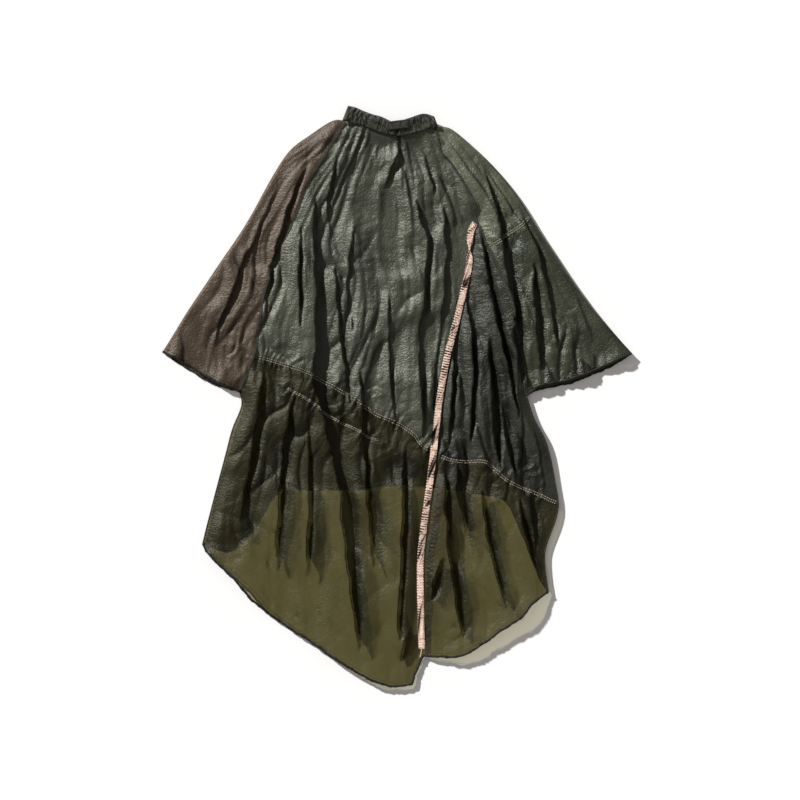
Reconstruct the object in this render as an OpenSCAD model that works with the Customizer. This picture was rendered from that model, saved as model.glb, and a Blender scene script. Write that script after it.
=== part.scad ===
// Barber cape: a sleeved nylon cape with a banded collar, laid flat with its front side up.
// The origin is the centre of the outline on the floor. +Y points to the collar and +Z up.
// Left and right are as seen from above. Each sheet of cloth is a flat solid that stands for
// thin nylon: a back layer on the floor and a front layer above it, joined at the sides.

/* [Overall] */
// Width from sleeve tip to sleeve tip
cape_width = 1132; // [1020:2:1240]
// Length from the collar's peak to the lowest point of the front hem
cape_length = 1402; // [1270:2:1540]

/* [Cloth] */
// Thickness of a sheet of cloth
cloth = 1.2; // [0.8:0.1:1.6]
// Air between the back layer and the front layer
layer_gap = 14.8; // [13:0.1:18]
// Width of the fold that joins front and back along a sleeve's outer edge
fold_width = 2.6; // [2:0.1:4]
// Gap left at the line where a sleeve folds over
fold_gap = 0.6; // [0.4:0.1:1.5]

/* [Seams and bindings] */
// Width of a double-stitched seam
seam_width = 9; // [6:0.5:14]
// Height that a seam stands above the cloth
seam_height = 0.9; // [0.5:0.1:1.5]
// Width of the seam allowance along the sides
side_seam_width = 4; // [3:0.5:6]
// Width of a bound or rolled hem
hem_width = 6; // [4:0.5:9]
// Thickness of a bound or rolled hem
hem_height = 2.2; // [1.8:0.1:2.6]
// Width of the printed tape
tape_width = 17; // [12:0.5:22]
// Thickness of the printed tape
tape_height = 0.8; // [0.5:0.1:1.2]
// Width of the gathering tape under the waist seam
gather_width = 7; // [5:0.5:10]

/* [Neck] */
// Thickness of a collar band
band_height = 3; // [2.4:0.1:3.6]
// Height of the back collar band, across the cloth
back_band_width = 17; // [12:0.5:18]
// Width of the slit below the collar
slit_width = 16; // [12:0.5:18]
// Width of the facing on each side of the slit
facing_width = 10; // [6:0.5:12]
// Length of the closing tab from its root to the middle of its round end
tab_length = 42; // [38:0.5:46]
// Width of the closing tab
tab_width = 22; // [20:0.5:24]
// Thickness of the closing tab
tab_height = 1.6; // [1.2:0.1:2]
// Angle of the closing tab to the +X axis
tab_angle = 7; // [0:1:10]

/* [Snap] */
// Outer radius of each half of the snap
snap_r = 5.5; // [5:0.1:6.5]
// Radius of the ball
snap_ball_r = 2; // [1.6:0.1:2.2]
// Radial clearance between the ball and its socket
snap_clearance = 0.5; // [0.4:0.1:0.6]

/* [Hidden] */

// Colours of the cloths and trims
body_colour = [0.29, 0.31, 0.27];
skirt_colour = [0.36, 0.35, 0.21];
brown_colour = [0.36, 0.30, 0.25];
green_colour = [0.40, 0.43, 0.33];
thread_colour = [0.58, 0.54, 0.46];
tape_colour = [0.86, 0.74, 0.69];
binding_colour = [0.07, 0.07, 0.06];
metal_colour = [0.72, 0.70, 0.66];

// Heights that follow from the cloth
front_z = cloth + layer_gap;
front_top = front_z + cloth;
band_z = front_z - (band_height - cloth) / 2;
band_top = band_z + band_height;
roof = front_top + 20;
beyond = 1000;
curve_steps = 4;
round_fn = 48;

// The outlines were drawn on a cape of this width and length
drawn_width = 1132;
drawn_length = 1402;
function fit(points) =
    [for (p = points) [p[0] * cape_width / drawn_width, p[1] * cape_length / drawn_length]];

// A smooth curve through hand-placed points
function between(a, b, c, d, t) =
    0.5 * (2 * b + (c - a) * t + (2 * a - 5 * b + 4 * c - d) * t * t
        + (3 * b - a - 3 * c + d) * t * t * t);
function smooth(p) = concat(
    [for (i = [0 : len(p) - 2], s = [0 : curve_steps - 1])
        between(p[max(i - 1, 0)], p[i], p[i + 1], p[min(i + 2, len(p) - 1)], s / curve_steps)],
    [p[len(p) - 1]]);
function curve(points) = smooth(fit(points));
function reversed(p) = [for (i = [len(p) - 1 : -1 : 0]) p[i]];

// A point of a path moved to its left by d
function moved(p, i, d) =
    let (a = p[max(i - 1, 0)], b = p[min(i + 1, len(p) - 1)])
    p[i] + d * [a[1] - b[1], b[0] - a[0]] / norm(b - a);
function shifted(p, d) = [for (i = [0 : len(p) - 1]) moved(p, i, d)];

// Edges of the whole outline, in order round it with the cloth on the left
neck_edge = curve([[102, 650], [78, 652], [46, 640], [6, 634], [-19, 636], [-50, 644], [-70, 653],
    [-122, 664]]);
left_outer_edge = curve([[-122, 664], [-155, 666], [-213, 629], [-259, 593], [-300, 532],
    [-365, 416], [-431, 317], [-501, 213], [-547, 138], [-566, 108]]);
left_mouth = curve([[-566, 108], [-540, 88], [-470, 44], [-431, 24], [-380, 12]]);
left_side = curve([[-380, 12], [-375, -24], [-397, -80], [-413, -140], [-436, -225],
    [-460, -319], [-469, -356]]);
main_hem = curve([[-469, -356], [-455, -380], [-390, -443], [-346, -494], [-277, -548],
    [-223, -583], [-154, -629], [-85, -673], [-35, -695], [0, -701], [35, -695]]);
side_hem = curve([[63, -627], [110, -629], [160, -624], [209, -595], [259, -559], [300, -531],
    [324, -502], [365, -472]]);
right_side = curve([[365, -472], [358, -426], [356, -387], [361, -358], [388, -278], [382, -213],
    [361, -116], [331, -56], [312, 2]]);
right_mouth = curve([[312, 2], [347, 17], [424, 33], [520, 73], [566, 104]]);
right_outer_edge = curve([[566, 104], [511, 165], [449, 242], [387, 334], [347, 394], [295, 477],
    [244, 542], [194, 593], [133, 644], [102, 650]]);

// Lines across the cape, from left to right or from top to bottom
waist = curve([[-600, 150], [-351, 97], [-288, 79], [-213, 51], [-162, 24], [-97, -15], [-51, -46],
    [5, -70], [41, -97], [60, -122], [116, -152], [160, -159], [208, -160], [257, -203],
    [305, -225], [332, -235], [370, -252], [600, -330]]);
gathering = curve([[-274, 19], [-219, -12], [-186, -36], [-145, -61], [-116, -75], [-65, -102],
    [-44, -106]]);
back_hem = curve([[-520, -345], [-469, -356], [-404, -373], [-351, -322], [-300, -240],
    [-271, -208], [-254, -218], [-213, -225], [-80, -223], [-19, -213], [24, -213], [120, -224],
    [201, -236], [261, -252], [300, -330], [340, -430], [365, -472], [420, -520]]);
join = curve([[215, 520], [191, 424], [177, 390], [174, 317], [159, 247], [143, 180], [123, 104],
    [108, 27], [97, -53], [86, -155], [77, -225], [65, -310], [57, -387], [56, -440], [57, -502],
    [60, -557], [63, -627], [75, -800]]);
printed = curve([[189, 418], [177, 390], [174, 317], [159, 247], [143, 180], [123, 104],
    [108, 27], [97, -53], [86, -155], [77, -225], [65, -310], [57, -387], [56, -440], [57, -502],
    [58, -557], [60, -610]]);
slit = curve([[6, 660], [5, 632], [0, 590], [-2, 552]]);
facing_line = curve([[5, 629], [0, 590], [-2, 552]]);
cross_seam = curve([[160, 322], [224, 363], [317, 428], [360, 458]]);

// Lines at which the sleeves fold, just outside the raglan seams
left_fold = fit([[-421, 30], [-167, 674]]);
right_fold = fit([[119, 655], [354, 18]]);

// Underside of the front layer along the length: level over the back layer, down to the floor
slope = [for (p = [[-beyond, 0], [-520, 0], [-480, 2], [-270, front_z], [beyond, front_z]])
    [p[0] * cape_length / drawn_length, p[1]]];

// Places of the tab and the snap, on the collar
tab_root = fit([[26, 656]])[0];
snap_at = 38;
snap_base = 0.6;
snap_space = 0.4;
tab_z = band_top + snap_base + snap_space + 1.8;

module strip(path, near, far) polygon(concat(shifted(path, near), reversed(shifted(path, far))));

// Everything on the left of the line from a to b, at least gap away from it
module left_of_line(line, gap) {
    along = (line[1] - line[0]) / norm(line[1] - line[0]);
    out = [-along[1], along[0]];
    low = line[0] - beyond * along + gap * out;
    high = line[1] + beyond * along + gap * out;
    polygon([low, low + beyond * out, high + beyond * out, high]);
}

module whole_outline() polygon(concat(neck_edge, left_outer_edge, left_mouth, left_side, main_hem,
    side_hem, right_side, right_mouth, right_outer_edge));
module left_sleeve_area() intersection() {
    whole_outline();
    left_of_line(left_fold, fold_gap);
}
module right_sleeve_area() intersection() {
    whole_outline();
    left_of_line(right_fold, fold_gap);
}
module body_area() difference() {
    whole_outline();
    left_of_line(left_fold, 0);
    left_of_line(right_fold, 0);
}
module above_waist() polygon(concat(waist, [[beyond, beyond], [-beyond, beyond]]));
module above_back_hem() polygon(concat(back_hem, [[beyond, -500], [beyond, beyond],
    [-beyond, beyond], [-beyond, -345]]));
module left_of_join() polygon(concat(join, [[-beyond, -beyond], [-beyond, beyond],
    [join[0][0], beyond]]));
module above_cross_seam() polygon(concat(cross_seam, [[beyond, beyond], [-beyond, beyond]]));
module slit_area() strip(slit, -slit_width / 2, slit_width / 2);
module front_hems() {
    strip(main_hem, -1, hem_width);
    strip(side_hem, -1, hem_width);
}

// Cloth of the front layer between two heights above its underside
module front_layer(low, high) intersection() {
    linear_extrude(height = roof) children();
    translate([-beyond, 0, 0]) rotate([90, 0, 90]) linear_extrude(height = 2 * beyond)
        polygon(concat([for (p = slope) p + [0, low]], reversed([for (p = slope) p + [0, high]])));
}

// What fills the height between the back layer and the front layer
module between_layers() intersection() {
    linear_extrude(height = roof) children();
    translate([-beyond, 0, 0]) rotate([90, 0, 90]) linear_extrude(height = 2 * beyond)
        polygon(concat(slope, [[beyond, cloth], [-480, cloth]]));
}

module at_height(low, high) translate([0, 0, low]) linear_extrude(height = high - low) children();

// Two layers joined along the outer edge, as a flattened sleeve is
module sleeve_tube(thick) {
    at_height(0, thick) children();
    at_height(front_top - thick, front_top) children();
    at_height(0, front_top) intersection() {
        children();
        union() {
            strip(left_outer_edge, 0, fold_width);
            strip(right_outer_edge, 0, fold_width);
        }
    }
}

module front_main_upper_panel() color(body_colour) front_layer(0, cloth) difference() {
    intersection() {
        body_area();
        above_waist();
        left_of_join();
    }
    slit_area();
}
module front_main_lower_panel() color(skirt_colour) front_layer(0, cloth) difference() {
    intersection() {
        body_area();
        left_of_join();
    }
    above_waist();
    front_hems();
}
module front_side_upper_panel() color(body_colour) front_layer(0, cloth) difference() {
    intersection() {
        body_area();
        above_waist();
    }
    left_of_join();
}
module front_side_lower_panel() color(skirt_colour) front_layer(0, cloth) difference() {
    body_area();
    above_waist();
    left_of_join();
    front_hems();
}
module back_upper_panel() color(body_colour) at_height(0, cloth) intersection() {
    body_area();
    above_waist();
}
module back_lower_panel() color(body_colour) at_height(0, cloth) difference() {
    intersection() {
        body_area();
        above_back_hem();
    }
    above_waist();
    strip(back_hem, -1, hem_width);
}
module side_seam(path) color(body_colour) between_layers() difference() {
    intersection() {
        strip(path, 0, side_seam_width);
        above_back_hem();
    }
    strip(back_hem, -1, hem_width + 1);
    front_hems();
}
module left_side_seam() side_seam(left_side);
module right_side_seam() side_seam(right_side);

// A seam that stands on the front layer, inside the body and clear of the printed tape
module front_seam(path, width) color(thread_colour) front_layer(cloth, cloth + seam_height)
    difference() {
        intersection() {
            strip(path, -width / 2, width / 2);
            body_area();
            children();
        }
        strip(join, -tape_width / 2 - 1, tape_width / 2 + 1);
        strip(left_fold, -seam_width - 1, 1);
        strip(right_fold, -seam_width - 1, 1);
    }
module front_main_waist_seam() front_seam(waist, seam_width) left_of_join();
module front_side_waist_seam() front_seam(waist, seam_width) difference() {
    whole_outline();
    left_of_join();
}
module waist_gathering_tape() front_seam(gathering, gather_width) left_of_join();
module back_waist_seam() color(thread_colour) at_height(cloth, cloth + seam_height) difference() {
    intersection() {
        strip(waist, -seam_width / 2, seam_width / 2);
        body_area();
    }
    strip(left_side, -1, side_seam_width + 1);
    strip(right_side, -1, side_seam_width + 1);
    strip(left_fold, -seam_width - 1, 1);
    strip(right_fold, -seam_width - 1, 1);
}

// A raglan seam runs beside a sleeve's fold line, on one of the two layers
module raglan_seam(line, height) color(thread_colour) at_height(height, height + seam_height)
    intersection() {
        strip(line, -seam_width, -1);
        body_area();
    }
module left_front_raglan_seam() raglan_seam(left_fold, front_top);
module right_front_raglan_seam() raglan_seam(right_fold, front_top);
module left_back_raglan_seam() raglan_seam(left_fold, cloth);
module right_back_raglan_seam() raglan_seam(right_fold, cloth);

module printed_tape() color(tape_colour) front_layer(cloth, cloth + tape_height)
    strip(printed, -tape_width / 2, tape_width / 2);

module hem_binding(path) color(binding_colour) front_layer(0, hem_height)
    strip(path, 0, hem_width);
module main_hem_binding() hem_binding(main_hem);
module side_hem_binding() hem_binding(side_hem);
module back_hem_binding() color(binding_colour) at_height(0, hem_height - 0.2) intersection() {
    strip(back_hem, 0, hem_width);
    whole_outline();
}

module placket_facing(near, far) color(body_colour) at_height(front_z - 1, front_z)
    strip(facing_line, near, far);
module left_placket_facing() placket_facing(-slit_width / 2 - facing_width, -slit_width / 2);
module right_placket_facing() placket_facing(slit_width / 2, slit_width / 2 + facing_width);

module collar_band(outline) color(body_colour) at_height(band_z, band_top) difference() {
    polygon(outline);
    whole_outline();
}
module collar_band_front_left() collar_band(concat(fit([[-3, 620]]),
    curve([[-3, 656], [-36, 673], [-82, 687], [-113, 701]]), fit([[-138, 673], [-125, 640]])));
module collar_band_front_right() collar_band(concat(fit([[3, 620]]),
    curve([[3, 659], [31, 670], [64, 681], [86, 676]]), fit([[92, 666], [104, 652], [95, 630]])));
module collar_band_back() color(body_colour) at_height(0, band_height)
    strip(neck_edge, -back_band_width, 0);

// The tab lies across the collar's notch and swings up about its root
module on_tab(z) translate([tab_root[0], tab_root[1], z]) rotate([0, 0, tab_angle]) children();
module collar_tab() color(green_colour) on_tab(tab_z) linear_extrude(height = tab_height)
    difference() {
        union() {
            translate([-tab_length, -tab_width / 2]) square([tab_length, tab_width]);
            translate([-tab_length, 0]) circle(d = tab_width, $fn = round_fn);
        }
        translate([0, -beyond / 2]) square(beyond);
    }
module snap_ball() color(metal_colour) on_tab(band_top) translate([-snap_at, 0, 0]) {
    cylinder(r = snap_r, h = snap_base, $fn = round_fn);
    cylinder(r = snap_ball_r, h = tab_z - band_top - snap_space, $fn = round_fn);
}
module snap_socket() color(metal_colour) on_tab(band_top + snap_base + snap_space)
    translate([-snap_at, 0, 0]) difference() {
        cylinder(r = snap_r, h = tab_z - band_top - snap_base - snap_space, $fn = round_fn);
        translate([0, 0, -1]) cylinder(r = snap_ball_r + snap_clearance, h = roof, $fn = round_fn);
    }

module left_sleeve() color(brown_colour) sleeve_tube(cloth) difference() {
    left_sleeve_area();
    strip(left_mouth, -1, hem_width);
}
module left_sleeve_hem() color(binding_colour) sleeve_tube(hem_height) intersection() {
    left_sleeve_area();
    strip(left_mouth, 0, hem_width);
}
module right_sleeve_upper() color(green_colour) sleeve_tube(cloth) intersection() {
    right_sleeve_area();
    above_cross_seam();
}
module right_sleeve_lower() color(green_colour) sleeve_tube(cloth) difference() {
    right_sleeve_area();
    above_cross_seam();
    strip(right_mouth, -1, hem_width);
}
module right_sleeve_cross_seam() color(thread_colour)
    at_height(front_top, front_top + seam_height) intersection() {
        right_sleeve_area();
        strip(cross_seam, -seam_width / 2, seam_width / 2);
    }
module right_sleeve_hem() color(binding_colour) sleeve_tube(hem_height) intersection() {
    right_sleeve_area();
    strip(right_mouth, 0, hem_width);
}

front_main_upper_panel();
front_main_lower_panel();
front_side_upper_panel();
front_side_lower_panel();
back_upper_panel();
back_lower_panel();
left_side_seam();
right_side_seam();
front_main_waist_seam();
front_side_waist_seam();
back_waist_seam();
waist_gathering_tape();
left_front_raglan_seam();
right_front_raglan_seam();
left_back_raglan_seam();
right_back_raglan_seam();
printed_tape();
main_hem_binding();
side_hem_binding();
back_hem_binding();
left_placket_facing();
right_placket_facing();
collar_band_front_left();
collar_band_front_right();
collar_band_back();
snap_ball();
collar_tab();
snap_socket();
left_sleeve();
left_sleeve_hem();
right_sleeve_upper();
right_sleeve_lower();
right_sleeve_cross_seam();
right_sleeve_hem();
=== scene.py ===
"""Barber cape, laid flat: cloth, seams, stitches, bindings, tape and collar on the CAD frame.

The front and the back are each one continuous cloth. Its folds, valleys, tucks and crumples are
drawn as heights, its steep folds lean over, and it is then cut into its panels along the seams.
All lengths are in metres, in the CAD model's frame. East is +X and west is -X.
"""

import math

import bmesh
import bpy
import numpy as np
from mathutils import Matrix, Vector, geometry


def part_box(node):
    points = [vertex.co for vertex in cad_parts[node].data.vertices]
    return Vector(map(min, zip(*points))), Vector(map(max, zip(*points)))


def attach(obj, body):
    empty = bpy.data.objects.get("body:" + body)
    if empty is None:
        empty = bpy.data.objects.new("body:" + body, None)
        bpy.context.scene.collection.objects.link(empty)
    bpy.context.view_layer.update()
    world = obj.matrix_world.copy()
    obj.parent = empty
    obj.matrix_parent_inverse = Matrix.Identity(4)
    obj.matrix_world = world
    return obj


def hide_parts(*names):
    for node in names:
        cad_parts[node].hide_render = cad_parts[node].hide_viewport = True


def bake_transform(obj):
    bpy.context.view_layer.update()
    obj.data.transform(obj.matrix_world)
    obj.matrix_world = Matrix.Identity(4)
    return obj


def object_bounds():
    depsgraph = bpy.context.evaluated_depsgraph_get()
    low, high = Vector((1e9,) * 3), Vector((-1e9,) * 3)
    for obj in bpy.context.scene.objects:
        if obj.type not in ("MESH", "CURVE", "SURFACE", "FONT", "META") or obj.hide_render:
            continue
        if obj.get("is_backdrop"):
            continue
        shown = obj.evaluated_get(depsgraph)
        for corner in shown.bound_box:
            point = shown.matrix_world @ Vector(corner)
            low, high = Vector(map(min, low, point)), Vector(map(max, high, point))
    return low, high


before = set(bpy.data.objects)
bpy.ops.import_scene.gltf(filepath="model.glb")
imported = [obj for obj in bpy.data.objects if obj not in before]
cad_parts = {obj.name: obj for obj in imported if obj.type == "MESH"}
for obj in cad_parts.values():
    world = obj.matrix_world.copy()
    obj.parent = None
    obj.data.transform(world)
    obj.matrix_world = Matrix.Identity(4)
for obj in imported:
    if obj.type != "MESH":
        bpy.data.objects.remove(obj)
cad_low, cad_high = (np.array(corner, float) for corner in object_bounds())

# ---------------------------------------------------------------- sizes
MM = 0.001
DRAWN = (1132, 1402)  # the outlines below are drawn in millimetres on a cape of this size
SCALE = (cad_high - cad_low)[:2] / np.array(DRAWN)
MESH_STEP = 3.7 * MM  # between the points of the panels' meshes
GRID_STEP = 3.5 * MM  # between the points where the cloth's height is worked out
FOLD_SPREAD = 1.35  # how much wider each drawn fold is built
rng = np.random.default_rng(11)

# ---------------------------------------------------------------- outlines
NECK = [(102, 650), (78, 652), (46, 640), (6, 634), (-19, 636), (-50, 644), (-70, 653), (-122, 664)]
LEFT_OUTER = [(-122, 664), (-155, 666), (-213, 629), (-259, 593), (-300, 532), (-365, 416),
              (-431, 317), (-501, 213), (-547, 138), (-566, 108)]
LEFT_MOUTH = [(-566, 108), (-540, 88), (-470, 44), (-431, 24), (-380, 12)]
LEFT_SIDE = [(-380, 12), (-375, -24), (-397, -80), (-413, -140), (-436, -225), (-460, -319),
             (-469, -356)]
MAIN_HEM = [(-469, -356), (-455, -380), (-390, -443), (-346, -494), (-277, -548), (-223, -583),
            (-154, -629), (-85, -673), (-35, -695), (0, -701), (35, -695)]
HEM_SLIT = [(35, -695), (50, -655), (63, -627)]
SIDE_HEM = [(63, -627), (110, -629), (160, -624), (209, -595), (259, -559), (300, -531),
            (324, -502),
            (365, -472)]
RIGHT_SIDE = [(365, -472), (358, -426), (356, -387), (361, -358), (388, -278), (382, -213),
              (361, -116), (331, -56), (312, 2)]
RIGHT_MOUTH = [(312, 2), (347, 17), (424, 33), (520, 73), (566, 104)]
RIGHT_OUTER = [(566, 104), (511, 165), (449, 242), (387, 334), (347, 394), (295, 477), (244, 542),
               (194, 593), (133, 644), (102, 650)]
LEFT_RAGLAN = [(-122, 664), (-177, 586), (-227, 494), (-254, 424), (-288, 356), (-312, 298),
               (-332, 220), (-341, 138), (-351, 97), (-380, 12)]
RIGHT_RAGLAN = [(92, 651), (104, 590), (123, 567), (154, 513), (179, 467), (191, 424), (205, 385),
                (225, 334), (261, 242), (281, 169), (298, 95), (312, 2)]
WAIST = [(-400, 115), (-351, 97), (-288, 79), (-213, 51), (-162, 24), (-97, -15), (-51, -46),
         (5, -70), (41, -97), (60, -122), (116, -152), (160, -159), (208, -160), (257, -203),
         (305, -225), (332, -235), (370, -252), (420, -270)]
GATHERING = [(-274, 19), (-219, -12), (-186, -36), (-145, -61), (-116, -75), (-65, -102),
             (-44, -106)]
BACK_HEM = [(-520, -345), (-469, -356), (-404, -373), (-351, -322), (-300, -240), (-271, -208),
            (-254, -218), (-213, -225), (-80, -223), (-19, -213), (24, -213), (120, -224),
            (201, -236), (261, -252), (300, -330), (340, -430), (365, -472), (420, -520)]
JOIN = [(191, 424), (177, 390), (174, 317), (159, 247), (143, 180), (123, 104), (108, 27),
        (97, -53),
        (86, -155), (77, -225), (65, -310), (57, -387), (56, -440), (57, -502), (60, -557),
        (63, -627)]
SLIT = [(5, 640), (3, 610), (0, 585), (-2, 556)]
CROSS_SEAM = [(205, 348), (224, 363), (317, 428), (350, 452)]

# The lines of the CAD model's two sleeve fold joints
LEFT_FOLD = [(-421, 30), (-167, 674)]
RIGHT_FOLD = [(119, 655), (354, 18)]


def smooth(points, steps=5):
    """A Catmull-Rom curve through points drawn in millimetres, in metres."""
    p = np.array(points, float) * SCALE
    p = np.vstack([p[:1], p, p[-1:]])
    t = np.linspace(0, 1, steps, endpoint=False)[:, None]
    pieces = []
    for a, b, c, d in zip(p, p[1:], p[2:], p[3:]):
        pieces.append(0.5 * (2 * b + (c - a) * t + (2 * a - 5 * b + 4 * c - d) * t**2
                             + (3 * b - a - 3 * c + d) * t**3))
    return np.vstack(pieces + [p[-1:]])


def resample(path, step):
    """The same path with points about one step apart, its ends kept."""
    path = np.asarray(path, float)
    run = np.r_[0, np.cumsum(np.linalg.norm(np.diff(path, axis=0), axis=1))]
    count = max(2, int(round(run[-1] / step)) + 1)
    at = np.linspace(0, run[-1], count)
    return np.stack([np.interp(at, run, path[:, k]) for k in range(path.shape[1])], 1)


def nearest(points, path):
    """Each point's distance to a path, positive on the path's left, and how far along it is."""
    best = np.full(len(points), 1e9)
    side = np.ones(len(points))
    along = np.zeros(len(points))
    lengths = np.linalg.norm(np.diff(path, axis=0), axis=1)
    start = 0.0
    for a, b, length in zip(path, path[1:], lengths):
        ab = b - a
        t = np.clip(((points - a) @ ab) / (ab @ ab), 0, 1)
        off = points - (a + t[:, None] * ab)
        distance = np.hypot(off[:, 0], off[:, 1])
        closer = distance < best
        best[closer] = distance[closer]
        side[closer] = np.where(ab[0] * off[:, 1] - ab[1] * off[:, 0] >= 0, 1, -1)[closer]
        along[closer] = (start + t * length)[closer]
        start += length
    return best * side, along


def inside(points, outline):
    """True for the points inside a closed outline."""
    hit = np.zeros(len(points), bool)
    x, y = points[:, 0], points[:, 1]
    for (x0, y0), (x1, y1) in zip(outline, np.roll(outline, -1, axis=0)):
        if y0 == y1:
            continue
        crosses = (y0 > y) != (y1 > y)
        hit ^= crosses & (x < (x1 - x0) * (y - y0) / (y1 - y0) + x0)
    return hit


def ease(t):
    """0 below 0, 1 above 1 and smooth between."""
    t = np.clip(t, 0, 1)
    return t * t * (3 - 2 * t)


def value_noise(x, y, seed):
    """Smooth noise from -1 to 1 with one bump for each unit of x and y."""
    table = np.random.default_rng(seed).uniform(-1, 1, (97, 89))
    i, j = np.floor(x).astype(int), np.floor(y).astype(int)
    u, v = x - i, y - j
    u, v = u * u * u * (u * (6 * u - 15) + 10), v * v * v * (v * (6 * v - 15) + 10)
    a = table[i % 97, j % 89] * (1 - u) + table[(i + 1) % 97, j % 89] * u
    b = table[i % 97, (j + 1) % 89] * (1 - u) + table[(i + 1) % 97, (j + 1) % 89] * u
    return a * (1 - v) + b * v


EDGES = {name: smooth(points) for name, points in {
    "neck": NECK, "left_outer": LEFT_OUTER, "left_mouth": LEFT_MOUTH, "left_side": LEFT_SIDE,
    "main_hem": MAIN_HEM, "hem_slit": HEM_SLIT, "side_hem": SIDE_HEM, "right_side": RIGHT_SIDE,
    "right_mouth": RIGHT_MOUTH, "right_outer": RIGHT_OUTER}.items()}
SEAMS = {name: smooth(points) for name, points in {
    "left_raglan": LEFT_RAGLAN, "right_raglan": RIGHT_RAGLAN, "waist": WAIST, "join": JOIN,
    "cross": CROSS_SEAM}.items()}
gathering, back_hem, slit = smooth(GATHERING), smooth(BACK_HEM), smooth(SLIT)
OUTLINE = np.vstack([path[:-1] for path in EDGES.values()])
SLIT_HALF = 5 * MM

# ---------------------------------------------------------------- folds
# Each fold: crest height, width on its west side, width on its east side, crest from top to bottom
FOLDS = [
    (19, 46, 13, [(-222, 540), (-214, 375), (-208, 232), (-207, 138), (-203, -10), (-174, -148),
                  (-152, -225), (-138, -380), (-132, -501), (-108, -617)]),
    (-9, 13, 22, [(-190, 500), (-183, 232), (-180, -10), (-152, -148), (-132, -300), (-118, -560)]),
    (11, 20, 9, [(-82, 560), (-104, 503), (-114, 448), (-111, 392), (-121, 346), (-128, 250)]),
    (8, 16, 8, [(-172, 423), (-150, 317), (-136, 201), (-126, 138), (-119, 82)]),
    (10, 18, 8, [(-99, 190), (-88, 60), (-85, -60), (-82, -186), (-70, -330), (-62, -470)]),
    (15, 30, 10, [(30, 600), (44, 518), (45, 484), (52, 438), (66, 405), (80, 370), (84, 317),
                  (72, 200), (62, 60), (54, -60)]),
    (9, 14, 7, [(118, 560), (128, 506), (132, 448), (128, 380), (118, 280), (98, 120)]),
    (11, 14, 8, [(150, 520), (156, 470), (155, 410), (150, 350), (134, 250), (112, 120), (88, 20)]),
    (9, 16, 8, [(232, 190), (216, 60), (200, -60), (186, -150)]),
    (12, 20, 9, [(170, 290), (176, 180), (170, 60), (160, -60), (150, -152)]),
    (10, 18, 8, [(286, 60), (292, -60), (296, -160), (286, -240)]),
    (10, 16, 8, [(-300, 250), (-296, 130), (-290, 60)]),
    (9, 20, 10, [(-258, 380), (-252, 260), (-246, 120), (-250, 60)]),
    (9, 16, 8, [(-40, 560), (-52, 460), (-48, 360), (-30, 240), (-24, 100), (-20, -40)]),
    (7, 14, 7, [(10, 430), (14, 320), (26, 200), (24, 60), (20, -60)]),
    # below the waist
    (12, 22, 9, [(-330, 70), (-344, -40), (-366, -150), (-392, -260), (-408, -370)]),
    (11, 20, 9, [(-268, 60), (-278, -40), (-296, -160), (-318, -290), (-322, -430), (-310, -500)]),
    (8, 14, 7, [(-300, 20), (-316, -80), (-340, -200), (-360, -300)]),
    (10, 16, 8, [(-236, 20), (-238, -90), (-246, -210), (-252, -330), (-246, -470), (-226, -560)]),
    (11, 16, 8, [(-100, -60), (-102, -170), (-92, -300), (-86, -440), (-74, -580), (-60, -660)]),
    (9, 15, 8, [(-24, -90), (-22, -200), (-24, -330), (-16, -470), (-8, -620)]),
    (11, 18, 9, [(24, -110), (20, -220), (14, -330), (10, -450), (12, -560), (20, -660)]),
    (12, 14, 10, [(102, -170), (106, -260), (114, -350), (122, -450), (134, -540), (146, -610)]),
    (9, 16, 8, [(168, -180), (176, -280), (190, -380), (214, -470), (232, -540)]),
    (15, 26, 11, [(236, -200), (256, -280), (276, -348), (304, -410), (336, -456)]),
    (10, 14, 8, [(300, -240), (322, -320), (338, -390), (350, -440)]),
    # sleeves
    (11, 30, 12, [(-270, 560), (-318, 440), (-372, 320), (-420, 210), (-446, 110)]),
    (8, 24, 10, [(-236, 560), (-276, 450), (-318, 350), (-360, 230), (-392, 110), (-400, 50)]),
    (6, 26, 14, [(-330, 470), (-400, 340), (-466, 220), (-510, 130)]),
    (17, 24, 14, [(150, 596), (196, 500), (226, 420), (250, 330), (272, 220), (290, 110),
                  (296, 40)]),
    (14, 26, 14, [(236, 540), (262, 460), (296, 370), (330, 270), (352, 170), (362, 70)]),
    (11, 28, 13, [(292, 460), (346, 360), (396, 270), (440, 180), (462, 90)]),
    (8, 20, 12, [(372, 340), (430, 260), (482, 180), (512, 120)]),
    (10, 16, 14, [(126, 636), (176, 600), (226, 540)]),
]
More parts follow.
